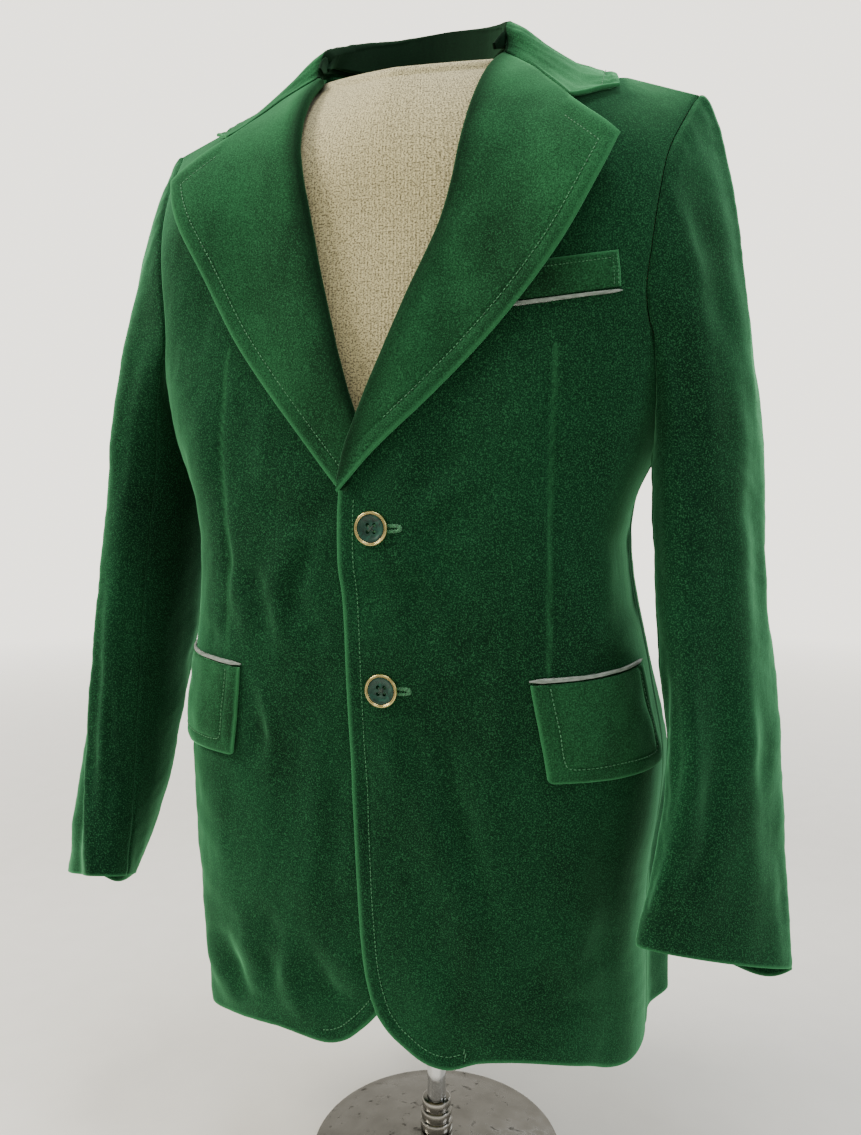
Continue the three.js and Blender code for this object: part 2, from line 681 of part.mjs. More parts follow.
// The front end of the collar leaf: sewn to the lapel along the gorge, then a
// free edge from the notch to the tip.
function gorgeEnd(side) {
  const points = lapelGrid(side)[LAPEL_ROWS].slice(0, SEWN + 1);
  points.forEach((p) => p.add(new THREE.Vector3(side * GORGE_GAP, 0, GORGE_GAP)));
  const tip = COLLAR[0];
  points.push(new THREE.Vector3(side * tip.edgeX, tip.edgeY, tip.edgeZ));
  return new THREE.CatmullRomCurve3(points, false, "centripetal");
}

function collarLeaf() {
  const fold = collarCurve("fold");
  const edge = collarCurve("edge");
  const ends = [gorgeEnd(1), gorgeEnd(-1)];
  const grid = [];
  for (let i = 0; i <= LEAF_ROWS; i += 1) {
    const t = i / LEAF_ROWS;
    const row = [];
    for (let j = 0; j <= 2 * COLLAR_HALF; j += 1) {
      const s = j / (2 * COLLAR_HALF);
      const straight = (at) => {
        const k = fold.getPoint(at);
        const o = edge.getPoint(at);
        const p = k.clone().lerp(o, t);
        const away = new THREE.Vector3(o.x - k.x, o.y - k.y, 0).normalize();
        const swell = 4.5 * Math.exp(-((t / 0.3) ** 2)) * smooth(t / 0.1);
        return p.addScaledVector(away, swell).add(new THREE.Vector3(0, 0, LEAF_LIFT));
      };
      const p = straight(s);
      for (const [which, at] of [[0, s], [1, 1 - s]]) {
        const weight = 1 - smooth(at / 0.16);
        if (weight > 0) {
          const home = straight(which);
          p.addScaledVector(ends[which].getPoint(t).sub(home), weight);
        }
      }
      const ridge = RIDGE_SINK * Math.exp(-(((p.y - SHOULDER_Y) / 16) ** 2));
      row.push(p.setZ(Math.max(p.z, restHeight(p.x, p.y) + LEAF_CLEAR - ridge)));
    }
    grid.push(row);
  }
  const normals = gridNormals(grid, (p) => new THREE.Vector3(p.x, p.y + 60, 120));
  for (let i = 0; i <= SEWN; i += 1) {
    normals[i][0].copy(gorgeNormals(1)[i]);
    normals[i][2 * COLLAR_HALF].copy(gorgeNormals(-1)[i]);
  }
  const inner = grid.map((row, i) => row.map((p, j) => p.clone().addScaledVector(normals[i][j], -COLLAR_WALL)));
  return mesh("collar_leaf", wallGeometry(grid, inner), VELVET);
}

// ---------- sleeves ----------
const RING_COLS = 30;
const CAP_ROWS = 5;
const SLEEVE_GAP = 1.1; // between the armhole's edge and the sleeve's
const ARM_ROWS = 11;

// The armhole as a closed ring: 0 degrees is the shoulder, 90 the front.
function armholePoint(side, angle) {
  const turn = ((angle % 360) + 360) % 360;
  const front = turn <= 180;
  const at = armholeAt(front, front ? 1 - turn / 180 : (turn - 180) / 180);
  return bodyPoint(side, at.turn, at.z);
}

function sleeveSection(side, z, angle) {
  const rows = side > 0 ? SLEEVE_LEFT : SLEEVE_RIGHT;
  const get = (name) => column(rows, "z", z, name);
  const turn = get("turn") * RAD;
  const a = angle * RAD;
  const fold = foldDepth(SLEEVE_FOLDS[side > 0 ? "left" : "right"], angle, z);
  const thick = (get("thick") + fold) * Math.cos(a);
  const flat = (get("flat") + fold) * Math.sin(a);
  const x = get("cx") + Math.sin(turn) * thick - Math.cos(turn) * flat;
  const y = get("cy") - Math.cos(turn) * thick - Math.sin(turn) * flat;
  const low = rows[rows.length - 1].z;
  const near = smooth((low + 140 - z) / 140);
  const tilt = CUFF_SLOPE.x * (x - get("cx")) + CUFF_SLOPE.y * (y - get("cy"));
  const behind = Math.exp(-(((angle - 235) / 38) ** 2));
  const drop = tilt - CUFF_DROOP * behind * smooth((low + 60 - z) / 60);
  return new THREE.Vector3(side * x, y, z + near * drop);
}

// Cap: a smooth run from the armhole to the first full section.
function capPoint(side, t, angle) {
  const top = (side > 0 ? SLEEVE_LEFT : SLEEVE_RIGHT)[0].z;
  const from = armholePoint(side, angle).add(new THREE.Vector3(side * SLEEVE_GAP, 0, 0));
  const to = sleeveSection(side, top, angle);
  const high = 0.5 + 0.5 * Math.cos(angle * RAD);
  const leave = new THREE.Vector3(side * lerp(6, 75, high), 0, -lerp(45, 15, high ** 2) * (0.6 + high * 0.4));
  const arrive = new THREE.Vector3(0, 0, -lerp(40, 180, high));
  const h10 = t ** 3 - 2 * t ** 2 + t;
  const h01 = 3 * t ** 2 - 2 * t ** 3;
  const h11 = t ** 3 - t ** 2;
  return from.multiplyScalar(1 - h01).addScaledVector(leave, h10)
    .addScaledVector(to, h01).addScaledVector(arrive, h11);
}

// A point of a sleeve's outer face, by its row from the armhole and its angle.
function sleevePoint(side, row, angle) {
  const rows = side > 0 ? SLEEVE_LEFT : SLEEVE_RIGHT;
  if (row < CAP_ROWS) return capPoint(side, (row / CAP_ROWS) ** 1.15, angle);
  const share = Math.min((row - CAP_ROWS) / ARM_ROWS, 1);
  return sleeveSection(side, lerp(rows[0].z, rows[rows.length - 1].z, share), angle);
}

// The way out of the sleeve, square to its surface. The seam into the armhole
// keeps to its own plane, so it clears the body.
function sleeveNormal(side, row, angle) {
  const step = 5;
  const centre = sleevePoint(side, row, 0).add(sleevePoint(side, row, 180)).multiplyScalar(0.5);
  const out = sleevePoint(side, row, angle).sub(centre);
  if (row === 0) return out.setX(0).normalize();
  const down = sleevePoint(side, Math.min(row + 1, CAP_ROWS + ARM_ROWS), angle);
  down.sub(sleevePoint(side, row - 1, angle));
  const round = sleevePoint(side, row, angle + step).sub(sleevePoint(side, row, angle - step));
  const normal = down.cross(round).normalize();
  return normal.dot(out) < 0 ? normal.negate() : normal;
}

function sleevePiece(side, from, to, cols, name) {
  const angles = Array.from({ length: cols + 1 }, (_, j) => lerp(from, to, j / cols));
  const outer = [];
  const inner = [];
  for (let row = 0; row <= CAP_ROWS + ARM_ROWS; row += 1) {
    outer.push(angles.map((a) => sleevePoint(side, row, a)));
    inner.push(outer[row].map((p, j) => p.clone().addScaledVector(sleeveNormal(side, row, angles[j]), -SLEEVE_WALL)));
  }
  return mesh(name, wallGeometry(outer, inner), VELVET);
}

function sleeves() {
  const gap = 0.2; // degrees, about 0.3 mm between the two sleeve pieces
  return [[1, "left"], [-1, "right"]].flatMap(([side, word]) => {
    const topCols = Math.round((RING_COLS * (SEAM_FRONT + 360 - SEAM_BACK)) / 360);
    const underCols = RING_COLS - topCols;
    return [
      sleevePiece(side, SEAM_BACK - 360 + gap, SEAM_FRONT - gap, topCols, "sleeve_" + word + "_top"),
      sleevePiece(side, SEAM_FRONT + gap, SEAM_BACK - gap, underCols, "sleeve_" + word + "_under"),
    ];
  });
}

// ---------- pockets ----------
// A small piece on a front: four corners by distance from the middle or by
// turn, drawn as a grid of the front's own points, moved out.
function onFront(side, corners, cols, rows, lift, wall) {
  const grid = [];
  for (let i = 0; i <= rows; i += 1) {
    const row = [];
    for (let j = 0; j <= cols; j += 1) {
      const u = j / cols;
      const v = i / rows;
      const mix = (name) => lerp(
        lerp(corners.lowIn[name], corners.lowOut[name], u),
        lerp(corners.highIn[name], corners.highOut[name], u),
        v,
      );
      row.push(bodyPoint(side, mix("turn"), mix("z"), lift));
    }
    grid.push(row);
  }
  return wallFrom(grid, outFromBody, wall);
}

const cornerAt = (side, reach, z) => ({ turn: turnAt(side, side * reach, z), z });

function hipPocket(side, word) {
  const flap = {
    lowIn: cornerAt(side, 125, 409),
    lowOut: { turn: 82, z: 412 },
    highIn: cornerAt(side, 114, 482),
    highOut: { turn: 80, z: 490 },
  };
  const piping = {
    lowIn: cornerAt(side, 114, 482.6),
    lowOut: { turn: 80, z: 490.6 },
    highIn: cornerAt(side, 114, 487),
    highOut: { turn: 80, z: 495 },
  };
  return [
    mesh("hip_flap_" + word, onFront(side, flap, 9, 4, FLAP_WALL + 0.5, FLAP_WALL), VELVET),
    mesh("hip_piping_" + word, onFront(side, piping, 9, 1, PIPING_WALL + 0.5, PIPING_WALL), SATIN),
  ];
}

function chestPocket() {
  const welt = {
    lowIn: cornerAt(1, 99, 750.6),
    lowOut: cornerAt(1, 172, 758.6),
    highIn: cornerAt(1, 113, 777),
    highOut: cornerAt(1, 170, 783),
  };
  const piping = {
    lowIn: cornerAt(1, 94, 746),
    lowOut: cornerAt(1, 173, 754),
    highIn: cornerAt(1, 94, 750),
    highOut: cornerAt(1, 173, 758),
  };
  return [
    mesh("chest_welt", onFront(1, welt, 8, 3, 1.6 + 0.5, 1.6), VELVET),
    mesh("chest_piping", onFront(1, piping, 8, 1, PIPING_WALL + 0.5, PIPING_WALL), SATIN),
  ];
}

// ---------- buttons ----------
function buttonDisc() {
  const shape = new THREE.Shape();
  shape.absarc(0, 0, BUTTON_R, 0, Math.PI * 2, false);
  for (const [sx, sy] of [[1, 1], [-1, 1], [-1, -1], [1, -1]]) {
    const hole = new THREE.Path();
    hole.absarc(sx * 2.1, sy * 2.1, 1.1, 0, Math.PI * 2, true);
    shape.holes.push(hole);
  }
  const disc = new THREE.ExtrudeGeometry(shape, { depth: BUTTON_T - 0.6, bevelEnabled: false, curveSegments: 7 });
  return disc.rotateX(Math.PI / 2);
}

function buttonRim() {
  const inner = BUTTON_R + 0.2;
  const profile = [
    [inner, 0],
    [BUTTON_RIM_R - 0.5, 0],
    [BUTTON_RIM_R, 0.7],
    [BUTTON_RIM_R, BUTTON_T - 0.5],
    [BUTTON_RIM_R - 0.9, BUTTON_T],
    [inner + 0.3, BUTTON_T - 0.2],
    [inner, BUTTON_T - 0.8],
    [inner, 0],
  ].map(([r, h]) => new THREE.Vector2(r, h));
  return new THREE.LatheGeometry(profile, 20).rotateX(Math.PI);
}

function buttons() {
  return BUTTONS.flatMap(({ name, x, z }) => {
    let nearest = 0;
    for (let a = 0; a < 360; a += 30) {
      const px = x + BUTTON_RIM_R * Math.cos(a * RAD);
      const pz = z + BUTTON_RIM_R * Math.sin(a * RAD);
      nearest = Math.min(nearest, frontPoint(1, px, pz, lapLift(px, pz)).y);
    }
    nearest = Math.min(nearest, frontPoint(1, x, z, lapLift(x, z)).y) - SEAM;
    return [["", buttonDisc(), BUTTON_PLASTIC], ["_rim", buttonRim(), BRASS]].map(([suffix, geometry, look]) => {
      const made = mesh(name + suffix, geometry, look);
      made.position.set(x, nearest, z);
      return made;
    });
  });
}

// ---------- dress form ----------
const FORM_RINGS = 20;
const FORM_COLS = 32;
const FORM_NECK = { half: 64, front: -89, mid: -50, back: 17, sqF: 3.2, sqB: 1.6 };
const FORM_TOP_FRONT = 943;
const FORM_TOP_TILT = 0.36;
const FORM_CENTRE_Y = -40;
const FORM_DROP = 6.9; // the form's shoulders carry the lowered shoulder seams
// How far the form lies inside the coat's outer face.
const FORM_INSET = [
  { z: 262, in: 20 },
  { z: 400, in: 14 },
  { z: 560, in: 9 },
  { z: 700, in: 9 },
  { z: 800, in: 7 },
  { z: 880, in: 2.9 },
  { z: 990, in: 2.4 },
];

// Whether a point lies inside the form: within the coat's sections, shrunk, or
// within the neck stump.
function insideForm(x, y, z) {
  const inset = column(FORM_INSET, "z", z, "in");
  const half = sectionAt("half", z) - inset - 4;
  const u = Math.abs(x - sectionAt("cx", z) * 0.3) / half;
  let body = false;
  if (u < 1 && Math.abs(x) < SHOULDER_X - 6) {
    const mid = sectionAt("mid", z);
    const lift = inset + SEAM;
    const h = shoulderLine(x) - FORM_DROP - z;
    const edge = (name, square) => {
      const flat = mid + (sectionAt(name, z) - mid) * (1 - u ** square) ** (1 / square);
      return SHOULDER_Y + (flat - SHOULDER_Y) * yoke(h);
    };
    body = h > 0 && y > edge("front", 2.7) + lift && y < edge("back", 2.7) - lift;
  }
  const { half: neckHalf, front, mid: neckMid, back, sqF, sqB } = FORM_NECK;
  const square = y < neckMid ? sqF : sqB;
  const ny = (y - neckMid) / ((y < neckMid ? front : back) - neckMid);
  const neck = z > 900 && Math.abs(x / neckHalf) ** square + ny ** square < 1;
  return body || neck;
}

function dressForm() {
  const rings = [];
  for (let i = 0; i <= FORM_RINGS; i += 1) {
    const v = i / FORM_RINGS;
    const base = lerp(FORM_BOTTOM, FORM_TOP_FRONT, 1 - (1 - v) ** 1.7);
    const tilt = FORM_TOP_TILT * smooth((base - 800) / (FORM_TOP_FRONT - 800));
    const ring = [];
    for (let j = 0; j < FORM_COLS; j += 1) {
      const a = (2 * Math.PI * j) / FORM_COLS;
      const at = (r) => {
        const x = r * Math.cos(a);
        const y = FORM_CENTRE_Y + r * Math.sin(a);
        return new THREE.Vector3(x, y, base + tilt * (y - FORM_NECK.front));
      };
      let low = 5;
      let high = 260;
      for (let k = 0; k < 24; k += 1) {
        const r = (low + high) / 2;
        const p = at(r);
        if (insideForm(p.x, p.y, p.z)) low = r;
        else high = r;
      }
      ring.push(at(low));
    }
    rings.push(ring);
  }
  const position = rings.flat().flatMap((p) => [p.x, p.y, p.z]);
  const index = [];
  const at = (i, j) => i * FORM_COLS + (j % FORM_COLS);
  for (let i = 0; i < FORM_RINGS; i += 1) {
    for (let j = 0; j < FORM_COLS; j += 1) {
      index.push(at(i, j), at(i, j + 1), at(i + 1, j + 1), at(i, j), at(i + 1, j + 1), at(i + 1, j));
    }
  }
  for (const [i, flip] of [[0, true], [FORM_RINGS, false]]) {
    const centre = rings[i].reduce((sum, p) => sum.add(p), new THREE.Vector3()).divideScalar(FORM_COLS);
    const hub = position.length / 3;
    position.push(centre.x, centre.y, centre.z);
    for (let j = 0; j < FORM_COLS; j += 1) {
      if (flip) index.push(hub, at(i, j + 1), at(i, j));
      else index.push(hub, at(i, j), at(i, j + 1));
    }
  }
  const geometry = new THREE.BufferGeometry();
  geometry.setAttribute("position", new THREE.Float32BufferAttribute(position, 3));
  geometry.setIndex(index);
  return mesh("dress_form", facingOut(geometry), LINEN);
}

// ---------- stand ----------
function turned(name, profile, segments, look) {
  const points = profile.map(([r, z]) => new THREE.Vector2(r, z));
  return mesh(name, new THREE.LatheGeometry(points, segments).rotateX(Math.PI / 2), look);
}

function stand() {
  const [ringLow, ringHigh] = RING_Z;
  const poleFoot = BASE_DOME + SEAM;
  const base = [[0, 0], [BASE_R - 1, 0], [BASE_R, 1], [BASE_R, BASE_RIM - 1.5], [BASE_R - 1.5, BASE_RIM]];
  const steps = 6;
  for (let i = 1; i <= steps; i += 1) {
    const t = i / steps;
    const r = (BASE_R - 6) * (1 - t);
    base.push([r, lerp(BASE_RIM, BASE_DOME, 1 - (1 - t) ** 1.7)]);
  }
  const inner = POLE_R + SEAM;
  const band = (ringHigh - ringLow) / 3;
  const collar = [[inner, ringLow]];
  for (let i = 0; i < 3; i += 1) {
    const z = ringLow + i * band;
    const r = RING_R - i * 0.8;
    collar.push([r - 1.2, z], [r, z + 1.4], [r, z + band - 2], [r - 1.2, z + band - 0.8]);
  }
  collar.push([inner, ringHigh - 0.8], [inner, ringLow]);
  const pole = [[0, poleFoot], [POLE_R, poleFoot], [POLE_R, POLE_TOP], [0, POLE_TOP]];
  return [
    turned("stand_base", base, 40, NICKEL),
    turned("stand_ring", collar, 18, NICKEL),
    turned("stand_pole", pole, 20, CHROME),
  ];
}

// ---------- joins and cuts ----------
function solidOf(geometry) {
  const bare = geometry.clone();
  bare.deleteAttribute("normal");
  bare.deleteAttribute("uv");
  const merged = mergeVertices(bare, 1e-4);
  return new wasm.Manifold(new wasm.Mesh({
    numProp: 3,
    vertProperties: new Float32Array(merged.getAttribute("position").array),
    triVerts: new Uint32Array(merged.index.array),
  }));
}

function geometryOf(solid) {
  const made = solid.getMesh();
  const geometry = new THREE.BufferGeometry();
  geometry.setAttribute("position", new THREE.BufferAttribute(made.vertProperties, 3));
  geometry.setIndex(new THREE.BufferAttribute(made.triVerts, 1));
  geometry.computeVertexNormals();
  return geometry;
}

// The pole stands in a socket in the form's underside.
function cutSocket(form) {
  const socket = new THREE.CylinderGeometry(POLE_R + SEAM, POLE_R + SEAM, 200, 32).rotateX(Math.PI / 2);
  socket.translate(0, 0, POLE_TOP + SEAM - 100);
  form.geometry = geometryOf(solidOf(form.geometry).subtract(solidOf(socket)));
  return form;
}

// ---------- the object ----------
const coat = new THREE.Group();
coat.add(
  ...bodyPanels(), ...lapels(), collarStand(), collarLeaf(), ...sleeves(),
  ...hipPocket(1, "left"), ...hipPocket(-1, "right"), ...chestPocket(), ...buttons(),
);

const pedestal = new THREE.Group();
pedestal.add(cutSocket(dressForm()), ...stand());

const part = new THREE.Group();
part.add(coat, pedestal);

export default part;
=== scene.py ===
"""A men's velvet sport coat on a limbless dress form and pedestal stand."""
import math

import bpy
import numpy as np
from bpy.props import FloatProperty, FloatVectorProperty, PointerProperty
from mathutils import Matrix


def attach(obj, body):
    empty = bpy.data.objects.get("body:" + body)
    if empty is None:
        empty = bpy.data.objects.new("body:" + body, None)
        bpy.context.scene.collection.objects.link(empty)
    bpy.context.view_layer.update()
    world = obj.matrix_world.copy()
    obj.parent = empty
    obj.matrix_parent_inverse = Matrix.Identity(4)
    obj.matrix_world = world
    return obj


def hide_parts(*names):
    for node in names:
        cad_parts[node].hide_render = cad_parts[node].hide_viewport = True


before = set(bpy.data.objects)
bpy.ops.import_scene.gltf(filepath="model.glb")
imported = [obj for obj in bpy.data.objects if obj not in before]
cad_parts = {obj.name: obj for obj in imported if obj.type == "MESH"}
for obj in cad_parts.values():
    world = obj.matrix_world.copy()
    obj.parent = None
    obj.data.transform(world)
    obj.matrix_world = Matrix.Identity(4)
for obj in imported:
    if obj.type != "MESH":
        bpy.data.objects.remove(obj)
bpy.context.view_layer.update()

bl_info = {
    "name": "Velvet Sport Coat",
    "version": (1, 0, 0),
    "blender": (4, 5, 0),
    "location": "View3D > Sidebar > Coat",
    "description": "Builds a velvet sport coat, its dress form and its stand",
    "category": "Object",
}

# ---------- sizes, in millimetres ----------
SEAM = 0.06  # gap between two pieces that are sewn together
SHOULDER_TUCK = 0.5  # how far the back goes in under the front at the shoulder
BODY_WALL = 2.2
SLEEVE_WALL = 1.8
LAPEL_WALL = 2.4
COLLAR_WALL = 2.4
FLAP_WALL = 2.2
WELT_WALL = 1.6
PIPING_WALL = 1.2
LAP_LIFT = 3.0
LAP_OVER_LAPEL = 7.3
LAPEL_LIFT = 5.8
TIP_FLOAT = 17.0
ROLL_MEET = (0.3, -0.75, 0.6)  # which way the face looks where the lapel's roll meets the collar's
ROLL = 4.0  # how far the lapel's roll stands out over the front's edge
ROLL_TURN = 165  # degrees that a roll turns back under the face
LEAF_LENGTH, STAND_LENGTH = 640.0, 560.0  # round the collar's two pieces, about
SEAM_CALM = 18  # creases die out this near a seam
CREASE_SPREAD = 1.55  # how much wider than drawn a crease runs out
FAR = 1e3  # the distance given to a point with no edge near it

SHOULDER_X, SHOULDER_Y, SHOULDER_Z = 218.0, -50.0, 913.0
SHOULDER_SLOPE = 0.36
NECK_X = 78.0
NAPE_Z = 972.0
NAPE_BULGE = 32.0
YOKE_DROP, YOKE_POWER = 145.0, 2.5
ARMPIT_Z, ARMPIT_EDGE_Z = 704.0, 668.0
HEM_BACK_Z = 148.0
TURN_MM = 2.6
SINK, SINK_END = 6.0, 168.0

RIM_R = 12.6
BUTTONS = {"button_top": (2.3, 593.5), "button_bottom": (6.6, 474.0)}

POLE_R, POLE_TOP = 8.6, 300.0
RING_R, RING_LOW, RING_HIGH = 15.0, 24.6, 56.0
BASE_R, BASE_RIM, BASE_DOME = 116.0, 7.0, 24.0
FORM_BOTTOM = 262.0
FORM_GAP = 0.3


def table(names, *rows):
    """Named columns of a short table, sorted by its first column."""
    data = np.array(rows, float)
    if data[0, 0] > data[-1, 0]:
        data = data[::-1]
    return dict(zip(names.split(), data.T))


# Level sections of the coat's outer face.
BODY = table(
    "z cx half front back mid sqF sqB",
    (140, -12, 200, -123, 112, 16, 2.7, 4.4),
    (200, -12, 200, -131, 108, 10, 2.7, 4.0),
    (290, -12, 200, -141, 101, -2, 2.8, 3.5),
    (400, -4, 204, -148, 93, -22, 3.0, 3.1),
    (480, -2, 191, -157, 80, -32, 3.2, 2.9),
    (560, -3, 177, -161, 65, -35, 3.5, 2.7),
    (610, -5, 180, -161, 64, -35, 3.6, 2.7),
    (650, -4, 196, -160, 68, -35, 3.6, 2.8),
    (695, -1, 208, -159, 75, -35, 3.6, 2.9),
    (735, 0, 213, -157, 78, -35, 3.8, 3.1),
    (770, 0, 216, -154, 80, -36, 4.0, 3.4),
    (840, 0, 222, -149, 77, -38, 4.0, 3.8),
    (1000, 0, 224, -147, 74, -40, 4.0, 4.0),
)
# Long folds: turn from the front centre, heights, width and depth.
BODY_FOLDS = (
    (117, 60, 520, 17, 24), (-117, 60, 480, 17, 13), (98, 100, 430, 7, -5),
    (112, 100, 470, 6, 5), (126, 100, 400, 7, -4.5), (141, 100, 440, 7, 4.5),
    (160, 100, 380, 9, -4), (-104, 100, 420, 8, 5), (-121, 100, 450, 7, -4.5),
    (-138, 100, 390, 8, 4.5), (-158, 100, 430, 8, -4), (-52, 100, 330, 8, 4),
    (58, 100, 300, 9, -3), (30, 100, 280, 8, 2.5),
)
# By side: +1 is the wearer's left and -1 the right.
SIDES = ((1, "left"), (-1, "right"))
EDGE = {
    1: table("z x", (207.5, -9), (230, -15), (256, -18), (354, -21), (510, -22), (621, -23), (677, -10),
             (755, 22), (821, 50), (880, 62), (935, 69), (950, 72), (963, 78)),
    -1: table("z x", (214, 3), (236, -6), (266, -14), (354, -20), (510, -22), (575, -20), (677, 11),
              (765, 36), (833, 52), (880, 62), (935, 70), (950, 73), (963, 78)),
}
HEM = {
    1: table("x z", (-9, 207.5), (0, 193), (10, 183.5), (22, 174.5), (35, 168.5), (51, 167), (74, 175),
             (107, 178), (150, 167), (169, 155), (188, 147)),
    -1: table("x z", (3, 214), (12, 202), (23, 190), (38, 177), (58, 171), (102, 174), (150, 168),
              (185, 162), (212, 160)),
}
ARMHOLE = {
    True: ((90, 704), (81, 706), (70, 712.5), (61, 723), (54, 739), (51, 760), (51.2, 785), (51.8, 820),
           (54.6, 858), (62.2, 889), (67.8, 905), (72.9, 913)),
    False: ((90, 704), (97, 709), (107, 722), (117, 742), (124, 765), (128.5, 800), (128.5, 850),
            (121.6, 888), (113.2, 905), (106.9, 913)),
}
LAPEL_EDGE = {
    1: ((-21, 619), (2, 646), (45, 687), (95, 740), (128, 787), (149, 832), (158, 858)),
    -1: ((-19, 574), (24, 620), (65, 673), (103, 728), (129, 786), (148, 828), (158, 861)),
}
LAPEL_TOP = ((72, 953), (97, 934), (118, 910), (132, 889), (158, 859))
LAPEL_LOW = {1: 621.0, -1: 577.0}
SEWN = 5 / 8  # share of the lapel's top edge that is sewn to the collar
COLLAR = {
    "seam": ((71.5, -82, 951), (74.5, -68, 957), (77.5, -48, 965.5),
             (67, -27, 970), (42, 8, 972), (0, 28, 974)),
    "fold": ((72, -88, 953.5), (75, -73, 968), (74, -45, 983),
             (64, -10, 1000), (40, 25, 1014), (0, 41, 1021)),
    "edge": ((164, -86, 914), (161, -62, 921), (152, -30, 924), (131, 8, 928), (78, 48, 943), (0, 63, 951)),
}
SLEEVE = {
    1: table("z cx cy flat thick turn", (640, 232, -46, 74, 35, 71), (560, 236, -50, 72, 35, 70),
             (490, 242, -56, 71, 34, 68), (433, 248.5, -62, 70, 31, 65), (345, 249, -72, 69, 29, 53),
             (268, 246, -80, 68, 28, 37)),
    -1: table("z cx cy flat thick turn", (640, 242, -44, 72, 38, 90), (552, 254, -48, 69, 38, 90),
              (470, 266, -52, 66, 38, 86), (385, 278, -60, 63, 37.5, 78), (320, 287.5, -72, 65, 35, 65),
              (268, 299, -84, 68, 29.5, 50)),
}
SLEEVE_FOLDS = {
    1: ((78, 300, 640, 11, 3.5), (48, 330, 600, 12, -3), (20, 420, 760, 11, 2.5),
        (215, 380, 600, 16, -3), (318, 360, 620, 14, -3)),
    -1: ((40, 250, 600, 11, -4), (64, 250, 640, 10, 4), (12, 300, 700, 12, 3),
         (215, 380, 600, 16, -3), (318, 360, 620, 14, -3)),
}
SLEEVE_TOP, SLEEVE_LOW = 640.0, 268.0
CUFF_SLOPE = (-0.08, -0.35)
CUFF_DROOP = 14.0
SEAM_FRONT, SEAM_BACK = 128.0, 292.0
CAP_ROWS, ARM_ROWS = 5, 11
SLEEVE_GAP = 0.25
FORM_NECK = {"half": 64.0, "front": -89.0, "mid": -50.0, "back": 17.0, "sqF": 3.2, "sqB": 1.6}
FORM_TOP, FORM_TILT, FORM_CENTRE_Y, FORM_DROP = 943.0, 0.36, -40.0, 6.9
FORM_INSET = table("z inset", (262, 20), (400, 14), (560, 9), (700, 9), (800, 7), (880, 2.9), (990, 2.4))


# ---------- small helpers ----------
def lerp(a, b, t):
    return a + (b - a) * t


def smooth(t):
    t = np.clip(t, 0.0, 1.0)
    return t * t * (3 - 2 * t)


def bell(t):
    return np.exp(-np.square(t))


def unit(v):
    return v / np.maximum(np.linalg.norm(v, axis=-1, keepdims=True), 1e-12)


def read(rows, at, name):
    """One column of a table, smoothly read at values of its first column."""
    key, value = next(iter(rows.values())), rows[name]
    at = np.asarray(at, float)
    b = np.searchsorted(key[1:-1], at, side="left")
    a, c, d = np.maximum(b - 1, 0), b + 1, np.minimum(b + 2, len(key) - 1)
    span = key[c] - key[b]
    t = np.clip((at - key[b]) / span, 0.0, 1.0)
    slope_b = (value[c] - value[a]) / (key[c] - key[a]) * span
    slope_c = (value[d] - value[b]) / (key[d] - key[b]) * span
    t2, t3 = t * t, t * t * t
    return (value[b] * (2 * t3 - 3 * t2 + 1) + slope_b * (t3 - 2 * t2 + t)
            + value[c] * (3 * t2 - 2 * t3) + slope_c * (t3 - t2))


class Curve:
    """A centripetal curve through points, read by its parameter or by share of its length."""

    def __init__(self, points):
        p = np.array(points, float)
        self.points = np.vstack([2 * p[0] - p[1], p, 2 * p[-1] - p[-2]])
        self.spans = len(p) - 1
        self.marks = np.linspace(0, 1, 401)
        steps = np.linalg.norm(np.diff(self.point(self.marks), axis=0), axis=-1)
        self.length = np.concatenate([[0.0], np.cumsum(steps)])

    def point(self, t):
        place = np.clip(np.asarray(t, float), 0, 1) * self.spans
        k = np.minimum(np.floor(place).astype(int), self.spans - 1)
        w = (place - k)[..., None]
        p0, p1, p2, p3 = (self.points[k + i] for i in range(4))
        gap = lambda a, b: np.sqrt(np.linalg.norm(b - a, axis=-1, keepdims=True))
        d0, d1, d2 = gap(p0, p1), gap(p1, p2), gap(p2, p3)
        t1 = ((p1 - p0) / d0 - (p2 - p0) / (d0 + d1) + (p2 - p1) / d1) * d1
        t2 = ((p2 - p1) / d1 - (p3 - p1) / (d1 + d2) + (p3 - p2) / d2) * d1
        return p1 + w * t1 + w**2 * (3 * (p2 - p1) - 2 * t1 - t2) + w**3 * (2 * (p1 - p2) + t1 + t2)

    def at(self, share):
        want = np.asarray(share, float) * self.length[-1]
        return self.point(np.interp(want, self.length, self.marks))


def fold_depth(folds, at, z):
    """How far long folds stand out, fading at their ends."""
    total = 0.0
    for centre, low, high, wide, deep in folds:
        along = smooth((high - z) / (0.6 * (high - low)))
        below = smooth((z - low) / 40 + 0.5)
        total = total + deep * bell((at - centre) / wide) * along * below
    return total


def lengths(points, axis=0):
    """Distance travelled along an axis of a grid of points."""
    steps = np.linalg.norm(np.diff(points, axis=axis), axis=-1)
    total = np.cumsum(steps, axis=axis)
    return np.concatenate([np.zeros_like(np.take(total, [0], axis=axis)), total], axis=axis)


EDGE_STEPS = np.array([0, 0.25, 0.7, 1.3, 2.1, 3.2, 4.8, 7.0])


def spread(length, step, nominal=None):
    """Distances from 0 to length, about step apart and close together at both ends."""
    count = max(int((nominal or length) / step), 4)
    ends = EDGE_STEPS * min(1.0, length / 40)
    middle = np.linspace(ends[-1], length - ends[-1], count)
    return np.concatenate([ends[:-1], middle, length - ends[-2::-1]])


# ---------- the coat's body surface ----------
def shoulder_line(x):
    """Height of the shoulder seam at a distance from the middle."""
    return SHOULDER_Z + SHOULDER_SLOPE * (SHOULDER_X - np.abs(x))


